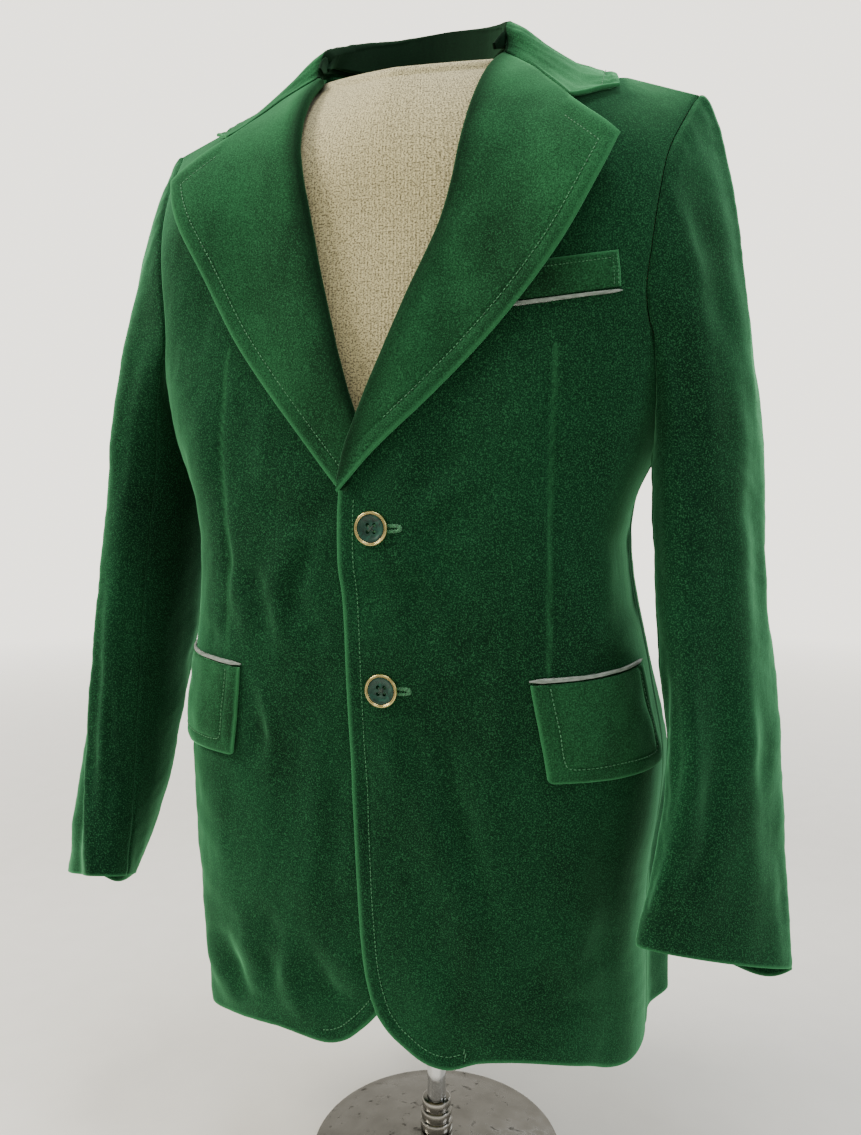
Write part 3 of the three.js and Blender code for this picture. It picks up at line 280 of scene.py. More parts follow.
def nape(x):
    """How much higher the back lies behind the neck."""
    return NAPE_BULGE * (1 - smooth((np.abs(x) - 20) / 60))


def yoke(h):
    """How far the body has come out, by its drop from the shoulder."""
    return 1 - (1 - np.clip(h / YOKE_DROP, 0, 1)) ** YOKE_POWER


def body_point(side, turn, z, lift=0.0):
    """A point of the coat's outer face: turn is 0 at the front, 90 at the side, 180 behind."""
    turn, z = np.broadcast_arrays(np.asarray(turn, float), np.asarray(z, float))
    front = turn <= 90
    square = np.where(front, read(BODY, z, "sqF"), read(BODY, z, "sqB"))
    s = np.abs(np.sin(np.radians(turn))) ** (2 / square)
    c = np.abs(np.cos(np.radians(turn))) ** (2 / square)
    mid = read(BODY, z, "mid")
    depth = np.where(front, read(BODY, z, "front"), read(BODY, z, "back")) - mid
    x = read(BODY, z, "cx") + side * read(BODY, z, "half") * s
    top = shoulder_line(x) + np.where(front, 0.0, nape(x))
    y = SHOULDER_Y + (mid + depth * c - SHOULDER_Y) * yoke(top - z)
    out = unit(np.stack([side * s, np.where(front, -c, c), np.zeros_like(s)], -1))
    lift = lift + fold_depth(BODY_FOLDS, side * turn, z)
    return np.stack([x, y, z], -1) + out * lift[..., None]


def turn_at(side, x, z, front=True):
    """The turn round the body that has a given x."""
    square = read(BODY, z, "sqF" if front else "sqB")
    s = np.clip(side * (x - read(BODY, z, "cx")) / read(BODY, z, "half"), 0, 1)
    turn = np.degrees(np.arcsin(s ** (square / 2)))
    return turn if front else 180 - turn


def reach_at(side, turn, z):
    """Distance from the middle at a turn round the body."""
    square = np.where(turn <= 90, read(BODY, z, "sqF"), read(BODY, z, "sqB"))
    return side * read(BODY, z, "cx") + read(BODY, z, "half") * np.sin(np.radians(turn)) ** (2 / square)


def front_point(side, reach, z, lift=0.0):
    reach, z = np.broadcast_arrays(np.asarray(reach, float), np.asarray(z, float))
    x = side * reach
    across = np.where(side * (x - read(BODY, z, "cx")) < 0, -side, side)
    return body_point(across, turn_at(across, x, z), z, lift)


def rest_height(x, y):
    """The height of the coat's shoulder over a point in plan."""
    front = y < SHOULDER_Y
    top = shoulder_line(x) + np.where(front, 0.0, nape(x))
    z = top
    for _ in range(4):
        square = np.where(front, read(BODY, z, "sqF"), read(BODY, z, "sqB"))
        s = np.clip(np.abs(x) / read(BODY, z, "half"), 0, 1)
        c = (1 - s**square) ** (1 / square)
        mid = read(BODY, z, "mid")
        flat = mid + (np.where(front, read(BODY, z, "front"), read(BODY, z, "back")) - mid) * c
        share = np.clip((y - SHOULDER_Y) / (flat - SHOULDER_Y), 0, 1)
        z = top - YOKE_DROP * (1 - (1 - share) ** (1 / YOKE_POWER))
    return z


def lap_lift(x, z):
    """How far the left front is lifted to lap over the right."""
    over = smooth((z - 540) / 30) * (LAP_OVER_LAPEL - LAP_LIFT)
    return (LAP_LIFT + over) * (1 - smooth((x - 18) / 45))


ARM_CURVE = {f: Curve([(t * TURN_MM, z) for t, z in rows]) for f, rows in ARMHOLE.items()}


def armhole_at(front, share):
    """Turn and height of the armhole, by share of its length."""
    at = ARM_CURVE[front].at(share)
    return at[..., 0] / TURN_MM, at[..., 1]


# ---------- creases, ripples and stitched lines ----------
def soft_line(at, path, wide, deep, lean=0.35):
    """A soft crease along a path, tapered at its ends and steeper on one side."""
    line = Curve(path).at(np.linspace(0, 1, 22)) if len(path) > 2 else lerp(
        np.array(path[0], float), np.array(path[1], float), np.linspace(0, 1, 8)[:, None])
    best = np.full(at.shape[:-1], 1e9)
    off = np.zeros_like(best)
    along = np.zeros_like(best)
    reach = 4 * wide
    low, high = line.min(0) - reach, line.max(0) + reach
    near = np.all((at > low) & (at < high), -1)
    if not near.any():
        return off
    p = at[near]
    best, off, along = best[near], off[near], along[near]
    for k, (a, b) in enumerate(zip(line[:-1], line[1:])):
        d = b - a
        size = max(np.hypot(*d), 1e-9)
        t = np.clip(((p - a) @ d) / size**2, 0, 1)
        gap = p - (a + t[..., None] * d)
        far = np.hypot(gap[..., 0], gap[..., 1])
        closer = far < best
        best = np.where(closer, far, best)
        side = (gap[..., 0] * d[1] - gap[..., 1] * d[0]) / size
        off = np.where(closer, np.sign(side) * far, off)
        along = np.where(closer, (k + t) / (len(line) - 1), along)
    uneven = 1 + 0.22 * np.sin(along * 9 + path[0][0]) + 0.12 * np.sin(along * 23 + path[0][1])
    taper = smooth(along / 0.35) * smooth((1 - along) / 0.35)
    w = wide * (1 + lean * np.tanh(off / wide))
    height = np.zeros(at.shape[:-1])
    height[near] = deep * taper * uneven * (bell(off / w) - 0.35 * bell((off - 2.1 * wide) / wide))
    return height


def creases(at, rows):
    total = np.zeros(at.shape[:-1])
    for path, wide, deep in rows:
        total += soft_line(at, path, CREASE_SPREAD * wide, deep)
    return total


def ripple(at, size, seed):
    """Slow unevenness of hanging cloth, about size mm from swell to swell."""
    rng = np.random.default_rng(seed)
    total = np.zeros(at.shape[:-1])
    for _ in range(7):
        turn, phase = rng.uniform(0, 2 * np.pi, 2)
        wave = 2 * np.pi / (size * rng.uniform(0.6, 1.6))
        total += np.sin(wave * (at[..., 0] * np.cos(turn) + at[..., 1] * np.sin(turn)) + phase)
    return total / 3.5


# Creases on the fronts: path by (x, z), width and depth, negative where it sinks.
FRONT_CREASES = {
    1: (
        (((47, 469), (57, 408), (73, 338), (79, 303), (90, 259)), 8, -3.6),
        (((33, 452), (44, 400), (58, 330), (66, 262), (70, 225)), 9, 2.4),
        (((74, 354), (70, 310), (69, 250)), 7, 2.2), (((94, 471), (86, 410), (90, 340)), 8, 1.8),
        (((111, 478), (107, 455), (104, 420)), 4, -1.6), (((100, 512), (95, 471), (96, 426)), 5, 1.5),
        (((104, 530), (106, 498)), 3, -1.0), (((113, 534), (114, 499)), 3.2, 1.0),
        (((121, 530), (122, 500)), 3, -0.9),
        (((24, 575), (36, 545), (46, 500)), 6, -2.2), (((27, 592), (52, 572), (80, 560)), 5, -1.4),
        (((18, 458), (30, 430), (38, 385)), 6, -2.4), (((6, 452), (12, 405), (10, 350)), 7, 1.8),
        (((28, 478), (54, 486), (84, 500)), 6, 1.3), (((-14, 440), (-12, 380), (-13, 300)), 6, -1.0),
        (((29, 275), (40, 225), (62, 196)), 10, 2.4), (((105, 280), (130, 235), (156, 205)), 10, -2.6),
        (((120, 300), (146, 255), (172, 222)), 9, 2.0), (((85, 225), (104, 205), (128, 190)), 8, -1.6),
        (((164, 394), (166, 308), (160, 215)), 8, -2.8), (((146, 402), (150, 320), (146, 240)), 9, 1.6),
        (((170, 606), (173, 560), (178, 505)), 5, -2.2), (((160, 612), (163, 565), (166, 512)), 5, 1.6),
        (((148, 508), (166, 497), (184, 488)), 6, -2.4), (((144, 522), (164, 516), (182, 512)), 6, 1.8),
        (((172, 722), (152, 660), (141, 600)), 12, -1.8), (((190, 690), (172, 632), (163, 580)), 10, 1.8),
        (((64, 655), (44, 628), (22, 608)), 7, -1.6), (((92, 642), (58, 618), (26, 602)), 7, 1.5),
        (((98, 600), (62, 592), (30, 586)), 7, -1.1), (((140, 800), (150, 760), (160, 720)), 10, 1.2),
        (((176, 860), (170, 820), (172, 770)), 9, -1.6), (((131, 590), (120, 560), (112, 520)), 8, 1.1),
    ),
    -1: (
        (((-50, 596), (-64, 574), (-76, 546), (-77, 517), (-70, 488)), 6.5, 2.8),
        (((-42, 588), (-55, 563), (-64, 538), (-64, 510)), 6, -2.4),
        (((-62, 546), (-49, 519), (-40, 492)), 6, -2.2), (((-112, 572), (-92, 538), (-84, 500)), 7, -2.8),
        (((-124, 560), (-106, 528), (-98, 498)), 6, 2.0), (((-32, 604), (-62, 618), (-104, 640)), 8, 1.5),
        (((-30, 590), (-66, 602), (-108, 616)), 7, -1.8), (((-28, 575), (-60, 580), (-96, 586)), 6, 1.2),
        (((-26, 470), (-52, 482), (-82, 500)), 7, -1.5),
        (((-110, 480), (-102, 455), (-99, 430), (-112, 392)), 5, -2.2),
        (((-102, 486), (-94, 455), (-90, 425), (-98, 385)), 5, 1.6),
        (((-70, 450), (-66, 388), (-74, 310)), 9, -2.0),
        (((-50, 424), (-57, 340), (-70, 262)), 9, 2.2), (((-36, 440), (-38, 360), (-46, 290)), 8, -1.5),
        (((-112, 295), (-98, 243), (-122, 200)), 8, -2.8), (((-160, 255), (-142, 204), (-127, 176)), 8, -2.6),
        (((-174, 240), (-158, 200), (-146, 170)), 7, 2.2), (((-134, 268), (-118, 222), (-108, 182)), 8, 2.4),
        (((-74, 280), (-56, 226), (-28, 204)), 8, -2.4), (((-91, 262), (-84, 210), (-78, 178)), 7, 2.4),
        (((-40, 275), (-26, 236), (-6, 222)), 7, 1.7), (((-99, 706), (-104, 660), (-110, 610)), 10, -1.6),
        (((-166, 720), (-150, 660), (-146, 600)), 11, 1.8),
        (((-184, 680), (-176, 620), (-172, 560)), 9, -2.2),
        (((-184, 500), (-190, 420), (-186, 330)), 9, -2.0), (((-146, 400), (-150, 340), (-144, 290)), 9, 1.5),
        (((-130, 800), (-142, 760), (-150, 715)), 10, -1.3),
        (((-168, 520), (-150, 508), (-132, 500)), 6, -1.4),
    ),
}
DARTS = {
    1: ((131, 720), (131, 709), (130, 642), (128, 572), (128, 490)),
    -1: ((-118, 727), (-123, 701), (-128, 659), (-128, 613), (-125, 567), (-128, 495)),
}
# Creases on the backs: path by (turn, z).
BACK_CREASES = (
    (((172, 640), (150, 606), (118, 588)), 10, -2.4), (((174, 600), (150, 580), (122, 572)), 10, 1.8),
    (((172, 566), (148, 556), (116, 560)), 9, -1.8), (((150, 860), (138, 800), (128, 740)), 9, -2.0),
    (((166, 850), (158, 780), (148, 720)), 10, 1.5), (((170, 800), (166, 720), (160, 660)), 8, -1.2),
    (((104, 440), (102, 330), (105, 180)), 3, -2.2), (((109, 430), (108, 320), (111, 175)), 3, 2.0),
    (((118, 420), (119, 320), (117, 180)), 3.5, -2.0), (((134, 400), (134, 300), (131, 170)), 4, 2.2),
    (((147, 440), (149, 320), (146, 190)), 4, -1.8), (((153, 360), (156, 260), (152, 165)), 4, 1.6),
    (((168, 430), (170, 320), (169, 200)), 4, -1.6), (((98, 690), (104, 640), (106, 590)), 6, -1.5),
)
# Creases on the sleeves: path by (degrees round, z).
SLEEVE_CREASES = {
    1: (
        (((50, 860), (42, 783), (36, 690)), 8, -2.4), (((66, 850), (58, 780), (54, 700)), 8, 1.8),
        (((86, 760), (77, 670), (73, 580)), 9, -2.4), (((100, 740), (94, 660), (90, 590)), 8, 1.8),
        (((34, 680), (29, 571), (41, 480)), 9, 2.4), (((18, 660), (14, 570), (24, 500)), 9, -2.0),
        (((64, 550), (57, 445), (36, 350)), 9, -3.0), (((80, 540), (76, 440), (58, 340)), 8, 2.2),
        (((32, 480), (6, 380), (-6, 290)), 9, 2.4), (((14, 460), (-10, 370), (-24, 300)), 9, -2.2),
        (((104, 520), (112, 470), (118, 420)), 8, -2.4), (((92, 500), (106, 452), (116, 400)), 7, 1.8),
        (((112, 440), (104, 380), (98, 320)), 8, -1.8), (((-30, 640), (-34, 560), (-28, 470)), 10, -2.0),
        (((-44, 520), (-30, 460), (-20, 400)), 10, 2.0), (((170, 520), (190, 470), (220, 440)), 12, -2.2),
        (((165, 480), (192, 430), (225, 400)), 12, 1.8), (((200, 640), (206, 560), (200, 500)), 12, -1.6),
        (((-50, 380), (-40, 330), (-44, 290)), 9, -1.6), (((40, 350), (44, 310), (40, 280)), 8, 1.4),
    ),
    -1: (
        (((72, 570), (74, 439), (70, 300)), 7, -3.4), (((84, 560), (88, 430), (84, 300)), 6, 2.4),
        (((80, 530), (96, 404), (90, 290)), 6, -2.2), (((88, 790), (90, 680), (90, 590)), 9, -2.2),
        (((70, 770), (72, 680), (68, 600)), 9, 2.0), (((50, 840), (44, 760), (46, 660)), 9, -2.2),
        (((28, 700), (24, 600), (30, 500)), 9, 2.2), (((10, 660), (4, 560), (8, 470)), 10, -2.0),
        (((104, 520), (114, 470), (120, 420)), 8, -2.2), (((40, 430), (48, 360), (44, 290)), 8, -2.4),
        (((-30, 640), (-34, 560), (-28, 470)), 10, -2.0), (((-44, 520), (-30, 460), (-20, 400)), 10, 2.0),
        (((170, 520), (190, 470), (220, 440)), 12, -2.2), (((200, 640), (206, 560), (200, 500)), 12, -1.6),
    ),
}


def front_detail(side, x, z):
    """How far the cloth of a front stands out, by its place in front view."""
    at = np.stack(np.broadcast_arrays(x, z), -1).astype(float)
    free = np.ones(at.shape[:-1])
    for bx, bz in BUTTONS.values():
        free = free * (1 - bell(np.hypot(at[..., 0] - bx, at[..., 1] - bz) / 19))
    total = creases(at, FRONT_CREASES[side])
    total = total + 0.45 * ripple(at, 46, 3 + side) + 0.2 * ripple(at, 17, 9 + side)
    total = total + soft_line(at, DARTS[side], 7, -1.3) + soft_line(at, DARTS[side], 2.6, -1.5)
    calm = 1 - 0.75 * smooth((at[..., 1] - 800) / 60)
    return total * free * calm * bench.fold_strength


class bench:
    """The sizes that every piece is made with, set from the panel's settings."""
    fold_strength = 1.0
    mesh_step = 3.4
    stitch_pitch = 3.4
    stitch_inset = 12.0


# ---------- building cloth ----------
def side_normals(grid, toward):
    """Unit normals of a grid, all on the side that points toward on average."""
    up = np.gradient(grid, axis=0)
    along = np.gradient(grid, axis=1)
    n = unit(np.cross(up, along))
    return n if np.mean(np.sum(n * toward, -1)) > 0 else -n


def out_from_body(grid):
    return np.stack([grid[..., 0], grid[..., 1] + 35, np.zeros_like(grid[..., 0])], -1)


def round_over(d, wall, sew=None):
    """How much both faces draw in near a folded edge, and at a seam."""
    r = wall / 2
    drop = r - np.sqrt(np.maximum(r * r - np.square(np.clip(r - d, 0, r)), 0))
    if sew is not None:
        drop = np.maximum(drop, 0.6 * bell(sew / 1.6))
    return np.minimum(drop, r - 0.14)


def grid_faces(rows, cols, start=0, flip=False):
    i, j = np.meshgrid(np.arange(rows - 1), np.arange(cols - 1), indexing="ij")
    a = start + i * cols + j
    quads = np.stack([a, a + 1, a + cols + 1, a + cols], -1).reshape(-1, 4)
    return quads[:, ::-1] if flip else quads


def mesh_object(name, points, faces, uv=None, painted_sheen_shade=None):
    """An object at the origin from points in millimetres and four-sided faces."""
    mesh = bpy.data.meshes.new(name)
    listed = faces.tolist() if isinstance(faces, np.ndarray) else faces
    mesh.from_pydata((points / 1000).tolist(), [], listed)
    mesh.update()
    tri = np.empty(len(mesh.loops), int)
    mesh.loops.foreach_get("vertex_index", tri)
    if uv is not None:
        layer = mesh.uv_layers.new(name="cloth")
        layer.data.foreach_set("uv", (uv[tri] / 1000).ravel())
    # The attribute holds painted sheen where it is above zero and painted shade where it is below zero, for the
    # velvet's colour.
    if painted_sheen_shade is not None:
        mesh.attributes.new("painted_sheen_shade", "FLOAT", "POINT").data.foreach_set("value", painted_sheen_shade.ravel())
    q = points[np.array([f[:3] for f in listed])]
    volume = np.sum(np.einsum("ij,ij->i", q[:, 0], np.cross(q[:, 1], q[:, 2])))
    if isinstance(faces, np.ndarray):
        r = points[faces[:, [0, 2, 3]]]
        volume += np.sum(np.einsum("ij,ij->i", r[:, 0], np.cross(r[:, 1], r[:, 2])))
    if volume < 0:
        mesh.flip_normals()
    mesh.shade_smooth()
    obj = bpy.data.objects.new(name, mesh)
    bpy.context.scene.collection.objects.link(obj)
    return obj


def shell(name, grid, normals, wall, drop, painted_sheen_shade=None, shift=0.0):
    """A closed piece of cloth: outer face, inner face and the rim that joins them."""
    rows, cols = grid.shape[:2]
    shift = np.broadcast_to(np.asarray(shift, float), grid.shape[:2])
    wall = np.broadcast_to(np.asarray(wall, float), grid.shape[:2])
    outer = grid + normals * (shift - drop)[..., None]
    inner = grid + normals * (shift - wall + drop)[..., None]
    points = np.concatenate([outer.reshape(-1, 3), inner.reshape(-1, 3)])
    count = rows * cols
    ring = np.concatenate([
        np.arange(cols), np.arange(1, rows) * cols + cols - 1,
        (rows - 1) * cols + np.arange(cols - 2, -1, -1), np.arange(rows - 2, 0, -1) * cols,
    ])
    after = np.roll(ring, -1)
    rim = np.stack([after, ring, ring + count, after + count], -1)
    faces = np.concatenate([grid_faces(rows, cols), grid_faces(rows, cols, count, True), rim])
    uv = np.stack([lengths(grid, 1), lengths(grid, 0)], -1).reshape(-1, 2)
    painted_sheen_shade = np.zeros(count) if painted_sheen_shade is None else painted_sheen_shade.reshape(-1)
    return mesh_object(name, points, faces, np.tile(uv, (2, 1)), np.tile(painted_sheen_shade, 2))


def nearest_on(at, line):
    """Distance from points to a line of points, both flat."""
    best = np.full(at.shape[:-1], 1e9)
    for a, b in zip(line[:-1], line[1:]):
        d = b - a
        t = np.clip(((at - a) @ d) / max(d @ d, 1e-9), 0, 1)
        gap = at - (a + t[..., None] * d)
        best = np.minimum(best, np.hypot(gap[..., 0], gap[..., 1]))
    return best


def sink_shoulder(grid, high, is_front):
    """The shoulder seam lies lower where the collar covers it."""
    # The front's seam edge moves back and the back's moves down, so that they overlap.
    weight = np.clip(1 - (1 - high) * 10, 0, 1)[:, None]
    reach = np.abs(grid[..., 0])
    under = smooth((reach - NECK_X) / 15) * smooth((SINK_END - reach) / 25)
    if is_front:
        grid[-1, :, 1] += SHOULDER_TUCK
    else:
        grid[-1, :, 2] -= SHOULDER_TUCK
    grid[..., 2] -= SINK * under * weight
    return grid


def panel_rows(side, is_front, bottom, top, hem_end):
    """Rows of a front or back, from the hem to the armpit and on to the shoulder."""
    rows = spread(800.0, bench.mesh_step)
    r = np.where(rows <= 500, rows / 500, 1 + (rows - 500) / 300)
    low, high = np.clip(r, 0, 1), np.clip(r - 1, 0, 1)
    edge_z = np.where(r <= 1, lerp(bottom, ARMPIT_EDGE_Z, low), lerp(ARMPIT_EDGE_Z, top, high))
    arm_turn, arm_z = armhole_at(is_front, high)
    end_z = np.where(r <= 1, lerp(hem_end, ARMPIT_Z, low), arm_z)
    end_x = reach_at(side, np.where(r <= 1, 90.0, arm_turn), end_z)
    return rows, low, high, edge_z, end_z, end_x


def by_length(points, x, z, trim_start, trim_end, nominal):
    """Places across each row at even distances, close together at both ends."""
    total = lengths(points, 1)
    xs, zs, ds = [], [], []
    for k in range(len(points)):
        inside = total[k, -1] - trim_start - trim_end
        want = trim_start + spread(inside, bench.mesh_step, nominal)
        xs.append(np.interp(want, total[k], x[k]))
        zs.append(np.interp(want, total[k], z[k]))
        ds.append(want - trim_start)
    return np.array(xs), np.array(zs), np.array(ds)


ACROSS = np.sin(np.linspace(0, np.pi / 2, 161))


def front_grid(side):
    edge, hem = EDGE[side], HEM[side]
    rows, low, high, edge_z, end_z, end_x = panel_rows(side, True, edge["z"][0], edge["z"][-1], hem["z"][-1])
    edge_x = read(edge, edge_z, "x") + ROLL * smooth((edge_z - LAPEL_LOW[side] - 5) / 30)
    x = lerp(edge_x[:, None], end_x[:, None], ACROSS)
    cut = read(hem, lerp(hem["x"][0], hem["x"][-1], ACROSS), "z")
    drop = (cut - lerp(hem["z"][0], hem["z"][-1], ACROSS)) * (1 - low[:, None]) ** 3
    z = lerp(edge_z[:, None], end_z[:, None], ACROSS) + drop
    lift = lap_lift(x, z) if side > 0 else 0 * x
    x, z, d = by_length(front_point(side, x, z, lift), x, z, 0, SEAM / 2, 290)
    return rows, low, high, x, z, d


def front_lift(side, x, z, sew=99.0):
    """The lift of a front's outer face, with its creases, which die out at its seams."""
    return (lap_lift(x, z) if side > 0 else 0 * x) + front_detail(side, side * x, z) * smooth(sew / SEAM_CALM)


def front_outline(x, z):
    """The front's free edge: down its front and along its hem."""
    return np.concatenate([np.stack([x[::-1, 0], z[::-1, 0]], -1), np.stack([x[0], z[0]], -1)])


def make_front(side, name):
    rows, low, high, x, z, d = front_grid(side)
    outline = front_outline(x, z)
    at = np.stack([x, z], -1)
    free = nearest_on(at, outline)
    inset = bench.stitch_inset
    stitched = smooth((75 - x) / 12) * smooth((LAPEL_LOW[side] + 10 - z) / 20)
    total = rows[-1] - rows[:, None]
    sew = np.minimum(d[:, -1:] - d, total)
    lift = front_lift(side, x, z, sew) - 0.8 * bell((free - inset) / 1.4) * stitched
    lift = lift + 0.7 * bell((free - inset / 2) / (inset / 3)) * stitched
    grid = sink_shoulder(front_point(side, x, z, lift), high, True)
    normals = side_normals(grid, out_from_body(grid))
    normals[low < 1, -1, 1] = 0
    normals[-1, :, 1] = 0
    drop = round_over(free, BODY_WALL, sew)
    dart = nearest_on(np.stack([side * x, z], -1), np.array(DARTS[side], float))
    # Painted sheen lightens the free edges, and a painted highlight lightens the darts.
    return shell(name, grid, unit(normals), BODY_WALL, drop, bell(free / 3.0) + 0.45 * bell(dart / 2.0))


def back_place(side):
    hem_end = HEM[side]["z"][-1]
    rows, low, high, edge_z, end_z, end_x = panel_rows(side, False, HEM_BACK_Z, NAPE_Z, hem_end)
    start_x = side * read(BODY, edge_z, "cx")
    x = lerp(start_x[:, None], end_x[:, None], ACROSS)
    neck = np.where(x < NECK_X, NAPE_Z - 9 * (x / NECK_X) ** 2, shoulder_line(x))
    straight = lerp(NAPE_Z, SHOULDER_Z, x / SHOULDER_X)
    z = lerp(edge_z[:, None], end_z[:, None], ACROSS) + (neck - straight) * high[:, None] ** 3
    points = body_point(side, turn_at(side, side * x, z, False), z)
    x, z, d = by_length(points, x, z, 0, SEAM / 2, 270)
    return rows, low, high, x, z, d


def make_back(side, name):
    rows, low, high, x, z, d = back_place(side)
    turn = turn_at(side, side * x, z, False)
    at = np.stack([turn, z], -1)
    shade = smooth((880 - z) / 60)
    lift = creases(at, BACK_CREASES) * (0.85 if side > 0 else 1.0) * bench.fold_strength
    flat = np.stack([d, z], -1)
    lift = (lift + 0.5 * ripple(flat, 50, 17 + side) + 0.2 * ripple(flat, 18, 5)) * shade
    sew = np.minimum(np.minimum(d, d[:, -1:] - d), rows[-1] - rows[:, None])
    grid = sink_shoulder(body_point(side, turn, z, lift * smooth(sew / SEAM_CALM)), high, False)
    normals = side_normals(grid, out_from_body(grid))
    normals[:, 0, 0] = 0
    normals[low < 1, -1, 1] = 0
    normals[-1, :, 1] = 0
    free = rows[:, None] + 0 * d
    # Painted sheen lightens the hem's folded edge.
    return shell(name, grid, unit(normals), BODY_WALL, round_over(free, BODY_WALL, sew), bell(free / 3.0))


# ---------- lapels ----------
LAPEL_OUTER = {side: Curve(points) for side, points in LAPEL_EDGE.items()}
LAPEL_UPPER = Curve(LAPEL_TOP)
LAPEL_CREASES = {
    1: ((((20, 690), (60, 770), (90, 850)), 16, 1.6), (((70, 740), (98, 800), (112, 860)), 12, -1.0),
        (((30, 672), (52, 700), (80, 728)), 7, 0.8)),
    -1: ((((24, 650), (60, 740), (88, 840)), 16, 1.8), (((60, 690), (96, 770), (116, 850)), 12, -1.1),
         (((30, 636), (58, 672), (84, 706)), 7, 0.8)),
}


def lapel_lift(side, u, v, z):
    """How far the lapel's face stands off the front, most at its tip."""
    low = LAPEL_WALL + 0.9 + 2.1 * smooth((v - 0.5) / 0.25)
    tip = TIP_FLOAT * smooth((u - 0.35) / 0.65) * smooth((v - 0.45) / 0.55)
    over = lerp(low, LAPEL_LIFT, smooth(u / 0.14)) + tip
    return over if side > 0 else lerp(low, over, smooth((z - 640) / 60))


def lapel_place(side, u, v):
    """Distance from the middle and height of a point of the lapel."""
    u, v = np.broadcast_arrays(u, v)
    high = LAPEL_TOP[0][1]
    tip = LAPEL_OUTER[side].at(1.0)
    z = lerp(LAPEL_LOW[side], high, v)
    inner = read(EDGE[side], z, "x") + 1
    outside, corner = LAPEL_OUTER[side].at(v), LAPEL_UPPER.at(u)
    bend = v**4
    x = lerp(inner, outside[..., 0], u) + bend * (corner[..., 0] - lerp(LAPEL_TOP[0][0] + 1, tip[0], u))
    z = lerp(z, outside[..., 1], u) + bend * (corner[..., 1] - lerp(high, tip[1], u))
    return x, z


def lapel_point(side, u, v, extra=0.0):
    x, z = lapel_place(side, u, v)
    lift = lapel_lift(side, u, v, z) + extra
    if side > 0:
        lift = lift + lap_lift(x, z)
    return front_point(side, x, z, lift)


def lapel_grid(side):
    """Face columns of the lapel, in u, with each row's width and the start of the roll."""
    size = LAPEL_OUTER[side].length[-1]
    v = spread(size, 2.8) / size
    fine = np.linspace(0, 1, 81)
    total = lengths(lapel_point(side, fine, v[:, None]), 1)
    u, d = [], []
    for k in range(len(v)):
        start = min(ROLL, 0.35 * total[k, -1])
        want = start + spread(total[k, -1] - start, 2.6, 118)
        u.append(np.interp(want, total[k], fine))
        d.append(want)
    return v, np.array(u), np.array(d), total[:, -1]


def make_lapel(side, name):
    v, u, d, width = lapel_grid(side)
    vv = v[:, None] + 0 * u
    x, z = lapel_place(side, u, vv)
    at = np.stack([x, z], -1)
    from_edge = width[:, None] - d
    size = LAPEL_OUTER[side].length[-1]
    from_top = np.where(u > SEWN, (1 - vv) * size * 0.86, FAR)
    free = np.minimum(from_edge, from_top)
    inset = bench.stitch_inset
    puff = 0.8 * bell((free - inset / 2) / (inset / 3)) - 0.8 * bell((free - inset) / 1.4)
    extra = creases(at, LAPEL_CREASES[side]) * bench.fold_strength + 0.25 * ripple(at, 38, 21 + side)
    extra = extra * smooth(from_edge / 30) + puff * smooth(width[:, None] / 60)
    face = lapel_point(side, u, vv, extra)
    out = side_normals(face, out_from_body(face))
    start, n = face[:, 0], out[:, 0]
    line = unit(np.gradient(start, axis=0))
    away = start - face[:, 4]
    away = unit(away - line * np.sum(away * line, -1, keepdims=True))
    lift = lapel_lift(side, u[:, 0], v, z[:, 0])
    under = lerp(4.2, 2.4, smooth((z[:, 0] - 820) / 60))
    tall = (lift + under) / 2
    n = unit(lerp(n, np.array(ROLL_MEET) * (side, 1, 1), smooth((v - 0.9) / 0.1)[:, None]))
    turns = np.radians(np.linspace(ROLL_TURN, 0, 15)[:-1])
    roll = np.stack([
        start + away * (d[:, :1] * np.sin(t)) - n * (tall * (1 - np.cos(t)))[:, None] for t in turns
    ], 1)
    grid = np.concatenate([roll, face], 1)
    normals = side_normals(grid, np.concatenate([np.zeros_like(roll), out], 1))
    pad = np.full((len(v), roll.shape[1]), FAR)
    sew = np.where(u < SEWN, (1 - vv) * size, FAR)
    free, sew = np.concatenate([pad, free], 1), np.concatenate([pad, sew], 1)
    wall = lerp(0.9, LAPEL_WALL, smooth(width / 16))[:, None] + 0 * free
    drop = np.minimum(round_over(free, LAPEL_WALL, sew), wall / 2 - 0.1)
    # Painted shade darkens the roll and the face beside it; painted sheen lightens the free edges.
    painted_roll_shade = np.concatenate([np.full((len(v), roll.shape[1]), 1.0), bell(d / 13)], 1)
    return shell(name, grid, normals, wall, drop, bell(free / 3.0) - 0.8 * painted_roll_shade * smooth(free / 9))


# ---------- collar ----------
def collar_curve(kind):
    """A curve right round the collar, mirrored about the back."""
    half = [np.array(p, float) for p in COLLAR[kind]]
    return Curve(half + [p * (-1, 1, 1) for p in half[-2::-1]])


SEAM_CURVE, FOLD_CURVE, LEAF_CURVE = (collar_curve(kind) for kind in ("seam", "fold", "edge"))


def gorge_end(side):
    """The sewn gorge seam, then the leaf's free end from the notch to the tip."""
    points = lapel_point(side, np.arange(6) / 8, np.ones(6)) + (side * 0.6, 0, 0.6)
    tip = COLLAR["edge"][0]
    return Curve(points), points[-1], np.array((side * tip[0], tip[1], tip[2]))


GORGE = {side: gorge_end(side) for side in (1, -1)}


def gorge_point(side, t):
    """A point of the leaf's end: along the sewn gorge, then out to the tip."""
    sewn, notch, tip = GORGE[side]
    free = lerp(notch, tip, np.clip(t * 6 - 5, 0, 1)[..., None])
    return np.where((t > 5 / 6)[..., None], free, sewn.point(np.clip(t * 1.2, 0, 1)))


def leaf_straight(s, t):
    """A point of the leaf before its ends are drawn to the gorge."""
    k, o = FOLD_CURVE.point(s), LEAF_CURVE.point(s)
    away = unit((o - k) * (1, 1, 0))
    swell = 4.5 * bell(t / 0.3) * smooth(t / 0.1)
    return lerp(k, o, t[..., None]) + away * swell[..., None] + (0, 0, 4.3)


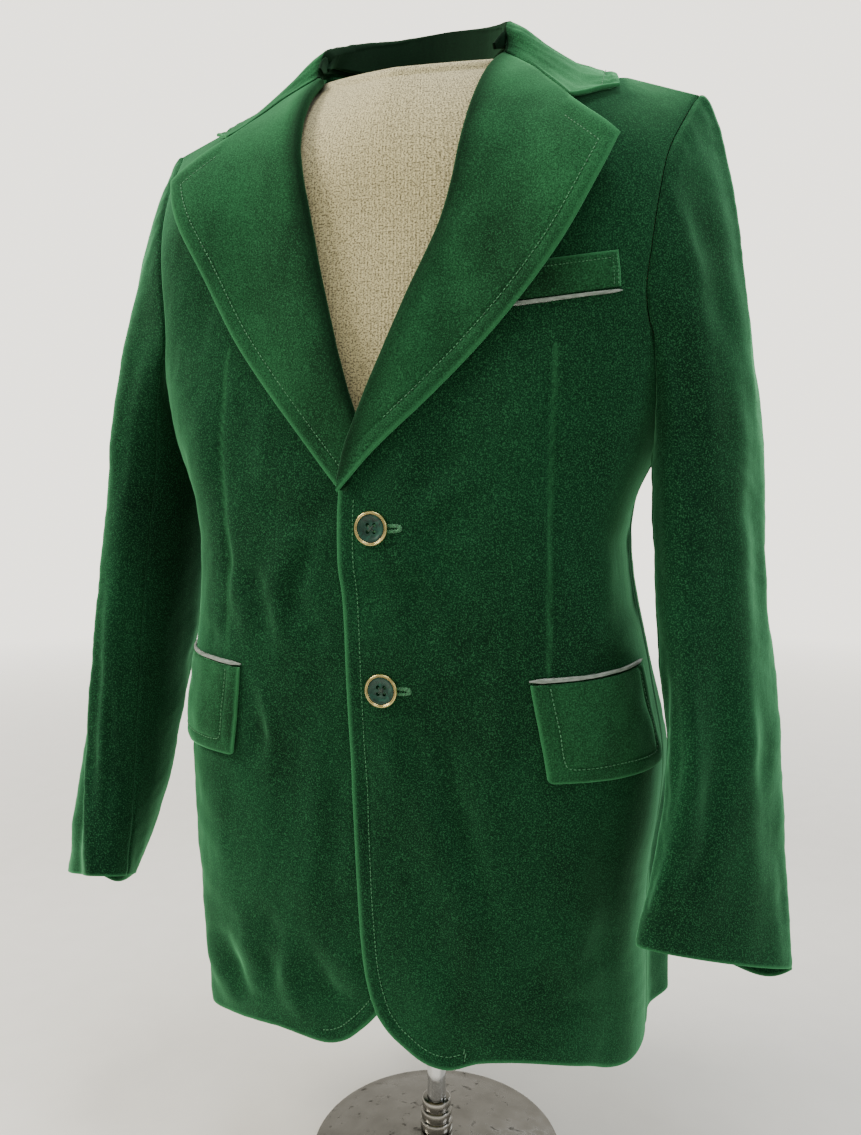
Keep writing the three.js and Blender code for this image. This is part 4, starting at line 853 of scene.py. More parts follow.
def leaf_point(s, t):
    s, t = np.broadcast_arrays(np.asarray(s, float), np.asarray(t, float))
    p = leaf_straight(s, t)
    for side, home, at in ((1, 0.0, s), (-1, 1.0, 1 - s)):
        weight = 1 - smooth(at / 0.16)
        p = p + (gorge_point(side, t) - leaf_straight(np.full_like(s, home), t)) * weight[..., None]
    ridge = 2 * bell((p[..., 1] - SHOULDER_Y) / 16)
    lowest = rest_height(p[..., 0], p[..., 1]) + 3.4 - ridge
    p[..., 2] = np.maximum(p[..., 2], lowest)
    return p


def make_collar_leaf(name):
    s = spread(LEAF_LENGTH, 3.0) / LEAF_LENGTH
    across = np.linspace(0, 1, 61)
    total = lengths(leaf_point(s[None, :], across[:, None]), 0)
    end = 1 - smooth(np.minimum(s, 1 - s) / 0.12)
    t, d = [], []
    for k in range(len(s)):
        start = ROLL * end[k]
        want = start + spread(total[-1, k] - start, 2.6, 92)
        t.append(np.interp(want, total[:, k], across))
        d.append(want)
    t, d = np.array(t).T, np.array(d).T
    face = leaf_point(s[None, :] + 0 * t, t)
    size = total[-1]
    from_edge = size - d
    from_notch = np.where(t > 5 / 6, np.minimum(s, 1 - s) * LEAF_LENGTH, FAR)
    free = np.minimum(from_edge, from_notch)
    inset = bench.stitch_inset * 0.8
    out = side_normals(face, face * (1, 1, 0) + (0, 60, 120))
    at = np.stack([s * LEAF_LENGTH + 0 * d, d], -1)
    lift = 0.35 * ripple(at, 30, 31) + 0.22 * ripple(at * (1, 0.35), 7, 33) * bell(d / 26)
    lift = lift + 0.6 * bell((free - inset / 2) / (inset / 3)) - 0.7 * bell((free - inset) / 1.4)
    face = face + out * (lift * smooth(from_edge / 5))[..., None]
    start, n = face[0], out[0]
    inward = unit((FOLD_CURVE.point(s) - LEAF_CURVE.point(s)) * (1, 1, 0))
    line = unit(np.gradient(start, axis=0))
    away = start - face[4]
    away = unit(away - line * np.sum(away * line, -1, keepdims=True))
    meet = np.array(ROLL_MEET) * np.stack([np.where(s < 0.5, 1, -1), 1 + 0 * s, 1 + 0 * s], -1)
    n = unit(lerp(n, meet, smooth(1 - np.minimum(s, 1 - s) / 0.03)[:, None]))
    foot = SEAM_CURVE.point(s) + inward * 5.6 + (0, 0, 3)
    ends = end[:, None]
    bend, tail = lerp(2.0, ROLL, ends), lerp(foot, start - n * 8.0 - away * 4, ends)
    wrap = []
    for share in np.linspace(1, 0, 27)[:-1]:
        turn = math.radians(ROLL_TURN * min(share / 0.5, 1))
        rolled = start + away * (bend * math.sin(turn)) - n * (4.0 * (1 - math.cos(turn)))
        wrap.append(lerp(rolled, tail, max(share - 0.5, 0) / 0.5))
    wrap = np.array(wrap)
    grid = np.concatenate([wrap, face])
    for _ in range(3):
        soft = grid.copy()
        soft[1:-1] = (grid[:-2] + 2 * grid[1:-1] + grid[2:]) / 4
        near = bell((np.arange(len(grid)) - len(wrap)) / 5.0)[:, None, None]
        grid = lerp(grid, soft, near)
    normals = side_normals(grid, np.concatenate([np.zeros_like(wrap), out]))
    pad = np.full((len(wrap), len(s)), FAR)
    free = np.concatenate([pad, free])
    ends = (np.minimum(s, 1 - s) * LEAF_LENGTH)[None, :] + 0 * free
    drop = round_over(free, COLLAR_WALL, np.where(np.concatenate([pad * 0, t]) <= 5 / 6, ends, FAR))
    # Painted shade darkens the wrap under the fold and the face beside it; painted sheen lightens the free
    # edges.
    painted_roll_shade = np.concatenate([pad * 0 + 1, 0.45 * bell(d / 6) * (1 + end)])
    return shell(name, grid, normals, COLLAR_WALL, drop, bell(free / 3.0) - painted_roll_shade * smooth(free / 9))


def make_collar_stand(name):
    s = spread(STAND_LENGTH, 5.0) / STAND_LENGTH
    t = 0.93 * np.linspace(0, 1, 14)
    grid = lerp(SEAM_CURVE.point(s)[None], FOLD_CURVE.point(s)[None], t[:, None, None])
    normals = side_normals(grid, out_from_body(grid))
    normals[..., 2] = 0
    normals = unit(normals)
    edge = np.minimum(t[:, None] * 45, (t[-1] - t[:, None]) * 45) + 0 * s
    # The whole stand is painted in shade: its attribute is -1 throughout.
    return shell(name, grid, normals, COLLAR_WALL, round_over(edge, COLLAR_WALL), 0 * edge - 1)


# ---------- sleeves ----------
def armhole_point(side, angle):
    turn = np.mod(angle, 360)
    front = turn <= 180
    ft, fz = armhole_at(True, np.clip(1 - turn / 180, 0, 1))
    bt, bz = armhole_at(False, np.clip((turn - 180) / 180, 0, 1))
    return body_point(side, np.where(front, ft, bt), np.where(front, fz, bz))


def sleeve_section(side, z, angle, extra=0.0):
    rows = SLEEVE[side]
    z, angle = np.broadcast_arrays(z, angle)
    cx, cy = read(rows, z, "cx"), read(rows, z, "cy")
    turn, a = np.radians(read(rows, z, "turn")), np.radians(angle)
    fold = fold_depth(SLEEVE_FOLDS[side], angle, z) + extra
    thick = (read(rows, z, "thick") + fold) * np.cos(a)
    flat = (read(rows, z, "flat") + fold) * np.sin(a)
    x = cx + np.sin(turn) * thick - np.cos(turn) * flat
    y = cy - np.cos(turn) * thick - np.sin(turn) * flat
    near = smooth((SLEEVE_LOW + 140 - z) / 140)
    tilt = CUFF_SLOPE[0] * (x - cx) + CUFF_SLOPE[1] * (y - cy)
    droop = CUFF_DROOP * bell((angle - 235) / 38) * smooth((SLEEVE_LOW + 60 - z) / 60)
    return np.stack([side * x, y, z + near * (tilt - droop)], -1)


def cap_point(side, t, angle):
    start = armhole_point(side, angle) + (side * SLEEVE_GAP, 0, 0)
    goal = sleeve_section(side, SLEEVE_TOP + 0 * angle, angle)
    high = 0.5 + 0.5 * np.cos(np.radians(angle))
    zero = 0 * high
    leave = np.stack([side * lerp(6, 75, high), zero, -lerp(45, 15, high**2) * (0.6 + 0.4 * high)], -1)
    arrive = np.stack([zero, zero, -lerp(40, 180, high)], -1)
    h10, h01, h11 = t**3 - 2 * t**2 + t, 3 * t**2 - 2 * t**3, t**3 - t**2
    w = lambda h: h[..., None]
    return start * w(1 - h01) + leave * w(h10) + goal * w(h01) + arrive * w(h11)


def sleeve_point(side, row, angle):
    row, angle = np.broadcast_arrays(np.asarray(row, float), np.asarray(angle, float))
    cap = cap_point(side, np.clip(row / CAP_ROWS, 0, 1) ** 1.15, angle)
    z = lerp(SLEEVE_TOP, SLEEVE_LOW, np.clip((row - CAP_ROWS) / ARM_ROWS, 0, 1))
    return np.where((row < CAP_ROWS)[..., None], cap, sleeve_section(side, z, angle))


def sleeve_rows():
    cap = np.arange(0.14, CAP_ROWS, 0.075)
    arm = np.arange(CAP_ROWS, CAP_ROWS + ARM_ROWS - 0.22, 0.1)
    last = CAP_ROWS + ARM_ROWS - EDGE_STEPS[::-1] / 34
    return np.concatenate([[0, 0.02, 0.05, 0.09], cap, arm, last])


def make_sleeve(side, first, last, name):
    rows = sleeve_rows()
    span = (last - first) * 0.95
    angles = first + (last - first) * spread(span, 3.0) / span
    grid = sleeve_point(side, rows[:, None], angles[None, :])
    middle = (sleeve_point(side, rows, 0.0) + sleeve_point(side, rows, 180.0)) / 2
    toward = grid - middle[:, None]
    normals = side_normals(grid, toward)
    normals[0] = unit(toward[0] * (0, 1, 1))
    at = np.stack([angles[None, :] + 0 * grid[..., 0], grid[..., 2]], -1)
    down = lengths(grid, 0)
    wrapped = creases(at, SLEEVE_CREASES[side]) + creases(at + (360, 0), SLEEVE_CREASES[side]) * (first < -60)
    head = bell((down - 9) / 13) * (0.5 + 0.5 * np.cos(np.radians(angles)))[None, :]
    pucker = (0.45 * np.sin(at[..., 0] * 0.52 + 1.3 * np.sin(at[..., 0] * 0.13)) + 0.6) * head
    near_seam = smooth(down / 25)
    lift = 0.75 * wrapped * near_seam * bench.fold_strength + pucker * smooth(down / 4)
    lift = lift + (0.5 * ripple(at, 42, 40 + side) + 0.22 * ripple(at, 15, 43)) * near_seam
    round_it = lengths(grid, 1)
    sew = np.minimum(np.minimum(round_it, round_it[:, -1:] - round_it), down)
    free = down[-1:] - down
    lift = lift * smooth(free / 6)
    lift = lift + 0.4 * bell((free - 7) / 5)
    grid = grid + normals * lift[..., None]
    normals = side_normals(grid, toward)
    normals[0] = unit(toward[0] * (0, 1, 1))
    # Painted sheen lightens the cuff's folded edge.
    return shell(name, grid, normals, SLEEVE_WALL, round_over(free, SLEEVE_WALL, sew), bell(free / 2.0))


# ---------- pockets ----------
def corner_at(side, reach, z):
    return float(turn_at(side, side * reach, float(z))), float(z)


def flap_corners(side):
    return (corner_at(side, 125, 409), (82, 412), corner_at(side, 114, 482), (80, 490))


def piping_corners(side):
    return (corner_at(side, 113.5, 482.6), (80.3, 490.6), corner_at(side, 113.5, 487), (80.3, 495))


WELT = (corner_at(1, 99, 750.6), corner_at(1, 172, 758.6), corner_at(1, 113, 777), corner_at(1, 170, 783))
CHEST_PIPING = (corner_at(1, 94, 746), corner_at(1, 173, 754), corner_at(1, 94, 750), corner_at(1, 173, 758))


def patch_point(side, corners, u, v, lift=0.0):
    """A point of a small piece on a front, by its four corners."""
    low_in, low_out, high_in, high_out = corners
    mix = lambda k: lerp(lerp(low_in[k], low_out[k], u), lerp(high_in[k], high_out[k], u), v)
    turn, z = mix(0), mix(1)
    base = body_point(side, turn, z)
    crease = front_detail(side, base[..., 0], base[..., 2])
    return body_point(side, turn, z, lift + 0.6 * crease)


def patch_grid(side, corners, step, lift):
    wide = lengths(patch_point(side, corners, np.linspace(0, 1, 41), np.full(41, 0.5))[None], 1)[0, -1]
    tall = lengths(patch_point(side, corners, np.full(41, 0.5), np.linspace(0, 1, 41))[None], 1)[0, -1]
    u, v = spread(wide, step) / wide, spread(tall, step) / tall
    u, v = np.meshgrid(u, v)
    return u, v, wide, tall, patch_point(side, corners, u, v, lift)


def make_flap(side, name):
    u, v, wide, tall, grid = patch_grid(side, flap_corners(side), 1.8, FLAP_WALL + 0.5)
    left, right, low = u * wide, (1 - u) * wide, v * tall
    # The two lower corners are cut round.
    radius = 4.5
    for across in (left, right):
        inside = np.clip(1 - across / radius, 0, 1)
        raise_by = radius * (1 - np.sqrt(np.clip(1 - inside**2, 0, 1)))
        shift = raise_by * np.clip(1 - low / 30, 0, 1)
        v = np.clip(v + shift / tall, 0, 1)
    grid = patch_point(side, flap_corners(side), u, v, FLAP_WALL + 0.5)
    free = np.minimum(np.minimum(left, right), low)
    inset = bench.stitch_inset
    puff = 0.8 * bell((free - inset / 2) / (inset / 3)) - 0.8 * bell((free - inset) / 1.4)
    puff = puff + (1.1 * np.clip(1 - v, 0, 1) ** 0.5 + 1.8 * bell((v - 0.42) / 0.24)) * smooth(free / 22)
    at = np.stack([left, low], -1)
    puff = puff + 0.35 * ripple(at, 26, 51 + side) + 0.8 * bell((at[..., 0] - 0.3 * wide) / 14) * (1 - v)
    hang = 2.2 * (1 - v) ** 2
    n = side_normals(grid, out_from_body(grid))
    drop = round_over(free, FLAP_WALL, (1 - v) * tall)
    # Painted sheen lightens the flap's free edges.
    return shell(name, grid, n, FLAP_WALL, drop, bell(free / 2.0), shift=puff * smooth(free / 3) + hang)


def make_welt(name):
    u, v, wide, tall, grid = patch_grid(1, WELT, 1.6, WELT_WALL + 0.5)
    free = np.minimum(np.minimum(u * wide, (1 - u) * wide), np.minimum(v, 1 - v) * tall)
    n = side_normals(grid, out_from_body(grid))
    edge = np.minimum((1 - v) * tall, (1 - u) * wide)
    puff = 0.8 * smooth(free / 7) + 0.5 * bell((edge - 2.6) / 2.2) - 0.35 * bell((edge - 5.4) / 0.9)
    puff = puff + 0.25 * ripple(np.stack([u * wide, v * tall], -1), 18, 61)
    drop = round_over(free, WELT_WALL)
    # Painted sheen lightens the welt's top and outer edges.
    return shell(name, grid, n, WELT_WALL, drop, bell(edge / 1.8), shift=puff * smooth(free / 2))


def make_piping(side, corners, name):
    """A folded strip of satin, full along its middle and drawn to a point at its ends."""
    u, v, wide, _, _ = patch_grid(side, corners, 0.7, 0.0)
    taper = smooth(u / 0.07) * smooth((1 - u) / 0.07)
    v = 0.5 + (v - 0.5) * lerp(0.2, 0.62, taper) * (1.1 - 0.35 * u)
    across = np.clip(1 - np.abs(np.linspace(-1, 1, len(v)))[:, None] ** 2.4, 0, 1)
    full = lerp(0.5, 1.0, taper)
    grid = patch_point(side, corners, u, v, PIPING_WALL + 1.1)
    n = side_normals(grid, out_from_body(grid))
    sag = 0.25 * np.sin(u * wide / 7.3) + 0.2 * np.sin(u * wide / 3.1 + 1)
    round_up = (0.5 + 0.8 * across) * full + sag * across * 0.6
    return shell(name, grid, n, 1.9, np.full_like(u, 0.05), shift=round_up - 1.0)


# ---------- stitching ----------
def capsule_parts(centres, along, up, length, radius):
    """Points and faces of many short threads, each a few dozen faces."""
    along, up = unit(along), unit(up)
    aside = unit(np.cross(along, up))
    up = np.cross(aside, along)
    ring = np.linspace(0, 2 * np.pi, 6, endpoint=False)
    stations = ((-0.5, 0.25), (-0.36, 0.85), (0.0, 1.0), (0.36, 0.85), (0.5, 0.25))
    points = []
    for place, size in stations:
        dip = 0.55 * radius * (1 - size)
        for angle in ring:
            r = radius * size
            points.append(centres + along * (place * length)[:, None] + aside * (r * np.cos(angle))
                          + up * (r * np.sin(angle) - dip))
    points = np.stack(points, 1)
    per = points.shape[1]
    base = []
    for k in range(len(stations) - 1):
        for j in range(6):
            base.append((6 * k + j, 6 * k + (j + 1) % 6, 6 * k + 6 + (j + 1) % 6, 6 * k + 6 + j))
    for first, order in ((0, (0, 5, 4, 3, 2, 1)), (per - 6, (0, 1, 2, 3, 4, 5))):
        base.append(tuple(first + order[i] for i in (0, 1, 2, 3)))
        base.append(tuple(first + order[i] for i in (0, 3, 4, 5)))
    base = np.array(base)
    faces = (base[None] + per * np.arange(len(points))[:, None, None]).reshape(-1, 4)
    return points.reshape(-1, 3), faces


def thread_object(name, groups):
    """One object of many stitches; groups are (centres, along, up, length, radius)."""
    points, faces, start = [], [], 0
    for centres, along, up, length, radius in groups:
        p, f = capsule_parts(centres, along, up, np.broadcast_to(length, len(centres)), radius)
        points.append(p)
        faces.append(f + start)
        start += len(p)
    return mesh_object(name, np.concatenate(points), np.concatenate(faces))


def run_of_stitches(line, up, pitch, length=0.68, radius=0.42, seed=7, sink=0.0):
    """Evenly pitched stitches along a line of surface points."""
    total = lengths(line)
    count = max(int(total[-1] / pitch), 1)
    rng = np.random.default_rng(seed)
    want = (np.arange(count) + 0.5) * pitch + rng.normal(0, 0.05 * pitch, count)
    pick = lambda values, w: np.stack([np.interp(w, total, values[:, k]) for k in range(3)], -1)
    centres, ups = pick(line, want), pick(up, want)
    along = pick(line, want + 0.4 * pitch) - pick(line, want - 0.4 * pitch)
    sizes = pitch * length * rng.uniform(0.85, 1.15, count)
    return centres + unit(ups) * (0.12 - sink), along, ups, sizes, radius


def surface_line(surface, a, b):
    """Points and outward directions of a surface along a path in its own places."""
    p = surface(a, b)
    da = surface(a + 0.001, b) - p if np.max(np.abs(a)) <= 1.5 else surface(a + 0.5, b) - p
    db = surface(a, b + 0.001) - p if np.max(np.abs(b)) <= 1.5 else surface(a, b + 0.5) - p
    n = unit(np.cross(da, db))
    toward = out_from_body(p[None])[0]
    return p, np.where(np.sum(n * toward, -1, keepdims=True) < 0, -n, n)


def front_stitches(side):
    _, _, _, x, z, _ = front_grid(side)
    line = front_outline(x, z)
    step = lengths(line)
    even = np.arange(0, step[-1], 3.0)
    line = np.stack([np.interp(even, step, line[:, k]) for k in range(2)], -1)
    ahead = np.gradient(line, axis=0)
    inward = unit(np.stack([-ahead[:, 1], ahead[:, 0]], -1))
    middle = np.array([90.0, 400.0])
    inward = np.where(np.sum(inward * (middle - line), -1, keepdims=True) < 0, -inward, inward)
    path = line + inward * bench.stitch_inset
    clear = nearest_on(path, line) > bench.stitch_inset - 0.6
    path = path[clear & (path[:, 1] < LAPEL_LOW[side] - 6) & (path[:, 0] < 62)]
    surface = lambda a, b: front_point(side, a, b, front_lift(side, a, b) - 0.25)
    p, n = surface_line(surface, path[:, 0], path[:, 1])
    return run_of_stitches(p, n, bench.stitch_pitch, seed=11 + side)


def lapel_stitches(side):
    v, u, d, width = lapel_grid(side)
    inset = bench.stitch_inset
    size = LAPEL_OUTER[side].length[-1]
    top = 1 - inset / (size * 0.86)
    rows = [k for k in range(len(v)) if 0.1 < v[k] <= top and width[k] > 3 * inset]
    at_u = np.array([np.interp(width[k] - inset, d[k], u[k]) for k in rows])
    at_v = v[rows]
    over = np.linspace(at_u[-1], SEWN + 0.03, 12)[1:]
    at_u, at_v = np.concatenate([at_u, over]), np.concatenate([at_v, np.full(11, at_v[-1])])
    surface = lambda a, b: lapel_point(side, a, b, -0.3)
    p, n = surface_line(surface, at_u, at_v)
    return run_of_stitches(p, n, bench.stitch_pitch, seed=21 + side)


def collar_stitches():
    s = np.linspace(0.012, 0.988, 260)
    size = lengths(leaf_point(s[None], np.linspace(0, 1, 31)[:, None]), 0)[-1]
    t = 1 - 0.8 * bench.stitch_inset / size
    p = leaf_point(s, t)
    n = unit(np.cross(leaf_point(s + 0.002, t) - p, leaf_point(s, t - 0.01) - p))
    n = np.where(n[:, 2:] + np.sum(n * out_from_body(p[None])[0] * 0.01, -1, keepdims=True) < 0, -n, n)
    return run_of_stitches(p - n * 0.35, n, bench.stitch_pitch, seed=31)


def flap_stitches(side):
    corners = flap_corners(side)
    _, _, wide, tall, _ = patch_grid(side, corners, 6.0, 0)
    inset = bench.stitch_inset
    a, b, c = inset / wide, 1 - inset / wide, inset / tall
    path = Curve([(a, 0.97), (a, 0.6), (a, c + 0.03), (a + 0.02, c), (0.5, c), (b - 0.02, c),
                  (b, c + 0.03), (b, 0.97)])
    uv = path.at(np.linspace(0, 1, 120))
    lift = FLAP_WALL + 0.5
    surface = lambda u, v: patch_point(side, corners, u, v, lift + 2.2 * (1 - v) ** 2 + 1.0 * (1 - v) ** 0.5
                                       + 0.9 * bell((v - 0.42) / 0.24))
    p, n = surface_line(surface, uv[:, 0], np.clip(uv[:, 1], 0, 0.985))
    return run_of_stitches(p, n, bench.stitch_pitch, seed=41 + side)


def welt_stitches():
    _, _, wide, tall, _ = patch_grid(1, WELT, 6.0, 0)
    surface = lambda u, v: patch_point(1, WELT, u, v, WELT_WALL + 1.0)
    groups = []
    line = lambda n: np.linspace(0, 1, n)
    paths = [(line(60) * 0.9 + 0.03, np.full(60, 1 - 5.4 / tall))]
    paths += [(np.full(40, 1 - gap / wide), line(40) * 0.9 + 0.05) for gap in (2.6, 6.2)]
    for k, (a, b) in enumerate(paths):
        p, n = surface_line(surface, a, b)
        groups.append(run_of_stitches(p, n, 2.6, 0.7, 0.36, 51 + k))
    return groups


def on_left_front(x, z, up=0.0):
    x, z = np.asarray(x, float), np.asarray(z, float)
    p = front_point(1, x, z, front_lift(1, x, z))
    n = unit(np.stack([0.02 * x, -np.ones_like(x), 0 * x], -1))
    return p + n * up, n


def buttonhole(x, z):
    """A keyhole buttonhole: threads laid side by side round a slit."""
    groups = []
    for half, deep, shade in ((1.9, 0.5, 0), (2.3, 0.3, 1)):
        t = np.linspace(0, 2 * np.pi, 90, endpoint=False)
        long = 11.0 + shade
        px = x + 9 + long * np.sign(np.cos(t)) * np.abs(np.cos(t)) ** 0.6
        pz = z + half * np.sign(np.sin(t)) * np.abs(np.sin(t)) ** 0.6
        p, n = on_left_front(px, pz, deep)
        rng = np.random.default_rng(60 + shade)
        out = np.stack([np.cos(t) * 0.6, 0 * t, np.sin(t)], -1) + rng.normal(0, 0.22, (90, 3)) * (1, 0, 1)
        groups.append((p, out, n, rng.uniform(1.8, 3.0, 90), 0.34))
    return groups


def hand_stitch():
    z = np.array([178.0, 181.5, 185.0])
    x = np.array([61.0, 61.6, 60.8])
    p = front_point(1, x, z, front_lift(1, x, z))
    n = unit(out_from_body(p[None])[0])
    return p + n * 0.3, np.tile((0.15, 0, 1.0), (3, 1)), n, np.full(3, 4.5), 0.5


# ---------- buttons ----------
def clear_selection():
    if bpy.context.object and bpy.context.object.mode != "OBJECT":
        bpy.ops.object.mode_set(mode="OBJECT")
    bpy.ops.object.select_all(action="DESELECT")


def spun(name, outline, centre, axis, steps):
    """A closed outline of (radius, along the axis) turned round the axis, as on a lathe."""
    clear_selection()
    bpy.ops.mesh.primitive_circle_add(vertices=len(outline), radius=0.01, fill_type="NOTHING")
    obj = bpy.context.object
    obj.name = obj.data.name = name
    axis = np.array(axis, float)
    aside = np.array((1.0, 0.0, 0.0))
    for vertex, (radius, along) in zip(obj.data.vertices, outline):
        vertex.co = ((np.array(centre, float) + aside * radius + axis * along) / 1000).tolist()
    bpy.ops.object.mode_set(mode="EDIT")
    bpy.ops.mesh.select_all(action="SELECT")
    bpy.ops.mesh.spin(steps=steps, angle=2 * math.pi, center=[c / 1000 for c in centre], axis=axis.tolist())
    bpy.ops.mesh.select_all(action="SELECT")
    bpy.ops.mesh.remove_doubles(threshold=2e-6)
    bpy.ops.mesh.dissolve_degenerate(threshold=1e-6)
    bpy.ops.mesh.normals_make_consistent(inside=False)
    bpy.ops.object.mode_set(mode="OBJECT")
    clear_selection()
    obj.select_set(True)
    bpy.context.view_layer.objects.active = obj
    bpy.ops.object.shade_smooth_by_angle(angle=math.radians(40))
    clear_selection()
    return obj


def button_back(x, z):
    """How far forward the cloth comes under a button."""
    a = np.radians(np.arange(0, 360, 30))
    px = np.append(x + RIM_R * np.cos(a), x)
    pz = np.append(z + RIM_R * np.sin(a), z)
    return min(0.0, front_point(1, px, pz, lap_lift(px, pz))[:, 1].min() - 0.3)


DISC_OUTLINE = ((0, 0.05), (10.1, 0.05), (10.2, 0.5), (10.1, 1.75), (9.6, 2.0), (8.9, 1.95), (7.7, 1.35),
                (6.2, 0.95), (4.9, 0.85), (4.2, 1.0), (2.0, 1.05), (0, 1.05))
RIM_OUTLINE = ((10.3, 0), (12.0, 0), (12.45, 0.4), (12.6, 1.0), (12.55, 1.7), (12.3, 2.25), (11.9, 2.55),
               (11.5, 2.55), (11.2, 2.3), (11.08, 1.95), (10.95, 2.2), (10.7, 2.3), (10.45, 2.15), (10.3, 1.8))
HOLE_AT, HOLE_R = 2.5, 1.5


def make_button_disc(name, x, z):
    y = button_back(x, z)
    disc = spun(name, DISC_OUTLINE, (x, y, z), (0, -1, 0), 64)
    for sx in (-1, 1):
        for sz in (-1, 1):
            clear_selection()
            bpy.ops.mesh.primitive_cylinder_add(
                vertices=20, radius=HOLE_R / 1000, depth=0.008,
                location=((x + sx * HOLE_AT) / 1000, y / 1000, (z + sz * HOLE_AT) / 1000),
                rotation=(math.pi / 2, 0, 0))
            drill = bpy.context.object
            clear_selection()
            disc.select_set(True)
            bpy.context.view_layer.objects.active = disc
            cut = disc.modifiers.new("hole", "BOOLEAN")
            cut.operation, cut.object, cut.solver = "DIFFERENCE", drill, "EXACT"
            bpy.ops.object.modifier_apply(modifier=cut.name)
            bpy.data.objects.remove(drill, do_unlink=True)
    clear_selection()
    disc.select_set(True)
    bpy.context.view_layer.objects.active = disc
    bpy.ops.object.shade_smooth_by_angle(angle=math.radians(35))
    clear_selection()
    return disc


def button_threads(x, z):
    y = button_back(x, z) - 1.05
    h = HOLE_AT
    rows = []
    apart = 0.26
    for lean, dx, dz in ((1, apart, -apart), (1, 0, 0), (1, -apart, apart),
                         (-1, apart, apart), (-1, 0, 0), (-1, -apart, -apart)):
        rows.append(((x + dx, y - (0.25 if lean > 0 else 0), z + dz), (1, 0, lean)))
    centres, along = (np.array(part, float) for part in zip(*rows))
    up = np.tile((0.0, -1.0, 0.0), (6, 1))
    return centres, along, up, np.full(6, 2 * h * math.sqrt(2) - 1.2), 0.26


# ---------- dress form ----------
def inside_form(x, y, z):
    inset = read(FORM_INSET, z, "inset")
    half = read(BODY, z, "half") - inset - 4
    u = np.abs(x - read(BODY, z, "cx") * 0.3) / half
    mid, lift = read(BODY, z, "mid"), inset + FORM_GAP
    h = shoulder_line(x) - FORM_DROP - z
    root = np.clip(1 - np.minimum(u, 1) ** 2.7, 0, 1) ** (1 / 2.7)
    edge = lambda name: SHOULDER_Y + (mid + (read(BODY, z, name) - mid) * root - SHOULDER_Y) * yoke(h)
    body = (u < 1) & (np.abs(x) < SHOULDER_X - 6) & (h > 0)
    body = body & (y > edge("front") + lift) & (y < edge("back") - lift)
    n = FORM_NECK
    square = np.where(y < n["mid"], n["sqF"], n["sqB"])
    ny = np.abs((y - n["mid"]) / (np.where(y < n["mid"], n["front"], n["back"]) - n["mid"]))
    return body | ((z > 900) & (np.abs(x / n["half"]) ** square + ny**square < 1))


def make_form(name):
    cols, soft = 144, 7.0
    v = np.linspace(0, 1, 150)
    base = lerp(FORM_BOTTOM, FORM_TOP - soft, 1 - (1 - v) ** 1.7)
    a = 2 * np.pi * np.arange(cols) / cols
    tilt = FORM_TILT * smooth((base - 800) / (FORM_TOP - 800))

    def at(r, base, tilt):
        x, y = r * np.cos(a), FORM_CENTRE_Y + r * np.sin(a)
        return np.stack(np.broadcast_arrays(x, y, base + tilt * (y - FORM_NECK["front"])), -1)

    low, high = np.full((len(v), cols), 5.0), np.full((len(v), cols), 260.0)
    for _ in range(22):
        r = (low + high) / 2
        p = at(r, base[:, None], tilt[:, None])
        hit = inside_form(p[..., 0], p[..., 1], p[..., 2])
        low, high = np.where(hit, r, low), np.where(hit, high, r)
    rings = list(at(low, base[:, None], tilt[:, None]))
    top, lean = low[-1], tilt[-1]
    for turn in np.radians((15, 30, 45, 60, 75, 90)):
        rings.append(at(top - soft * (1 - np.cos(turn)), base[-1] + soft * np.sin(turn), lean))
    for share in (0.93, 0.8, 0.6, 0.4, 0.2, 0.05):
        dish = 3.0 * (1 - share**2)
        rings.append(at((top - soft) * share, base[-1] + soft - dish * 0.4, lean))
    socket = (POLE_R + FORM_GAP) * np.stack([np.cos(a), np.sin(a), 0 * a], -1)
    below = [socket * (0.05, 0.05, 1) + (0, 0, POLE_TOP + FORM_GAP), socket + (0, 0, POLE_TOP + FORM_GAP),
             socket + (0, 0, FORM_BOTTOM)]
    rings = np.array(below + [lerp(below[-1], rings[0], 0.96) * (1, 1, 0) + (0, 0, FORM_BOTTOM)] + rings)
    i, j = np.meshgrid(np.arange(len(rings) - 1), np.arange(cols), indexing="ij")
    near, far = i * cols + j, i * cols + (j + 1) % cols
    faces = np.stack([near, far, far + cols, near + cols], -1).reshape(-1, 4)
    points = rings.reshape(-1, 3)
    caps = []
    for ring, flip in ((0, True), (len(rings) - 1, False)):
        points = np.vstack([points, rings[ring].mean(0)])
        hub = len(points) - 1
        fan = np.array([[ring * cols + k, ring * cols + (k + 1) % cols, hub] for k in range(cols)])
        caps.append(fan[:, ::-1] if flip else fan)
    round_it = np.cumsum(np.full(cols, 1200.0 / cols))
    uv = np.stack(np.broadcast_arrays(round_it[None, :], rings[..., 2]), -1).reshape(-1, 2)
    uv = np.vstack([uv, uv[:2]])
    return mesh_object(name, points, faces.tolist() + np.concatenate(caps).tolist(), uv)


# ---------- stand ----------
def base_outline():
    outline = [(0, 0), (BASE_R - 1.2, 0), (BASE_R - 0.4, 0.3), (BASE_R, 1.2), (BASE_R, BASE_RIM - 2),
               (BASE_R - 0.5, BASE_RIM - 0.7), (BASE_R - 1.8, BASE_RIM), (BASE_R - 4.5, BASE_RIM + 0.1)]
    for t in np.linspace(0, 1, 25)[1:]:
        outline.append(((BASE_R - 6) * (1 - t), lerp(BASE_RIM, BASE_DOME, 1 - (1 - t) ** 1.7)))
    return [(float(r), float(z)) for r, z in outline]


def ring_outline():
    inner, band = POLE_R + FORM_GAP, (RING_HIGH - RING_LOW) / 3
    outline = [(inner, RING_LOW)]
    for i in range(3):
        z, r = RING_LOW + i * band, RING_R - i * 0.8
        outline += [(r - 1.2, z), (r - 0.4, z + 0.5), (r, z + 1.6), (r, z + band - 2.2),
                    (r - 0.4, z + band - 1.2), (r - 1.2, z + band - 0.7)]
    return outline + [(inner, RING_HIGH - 0.8)]


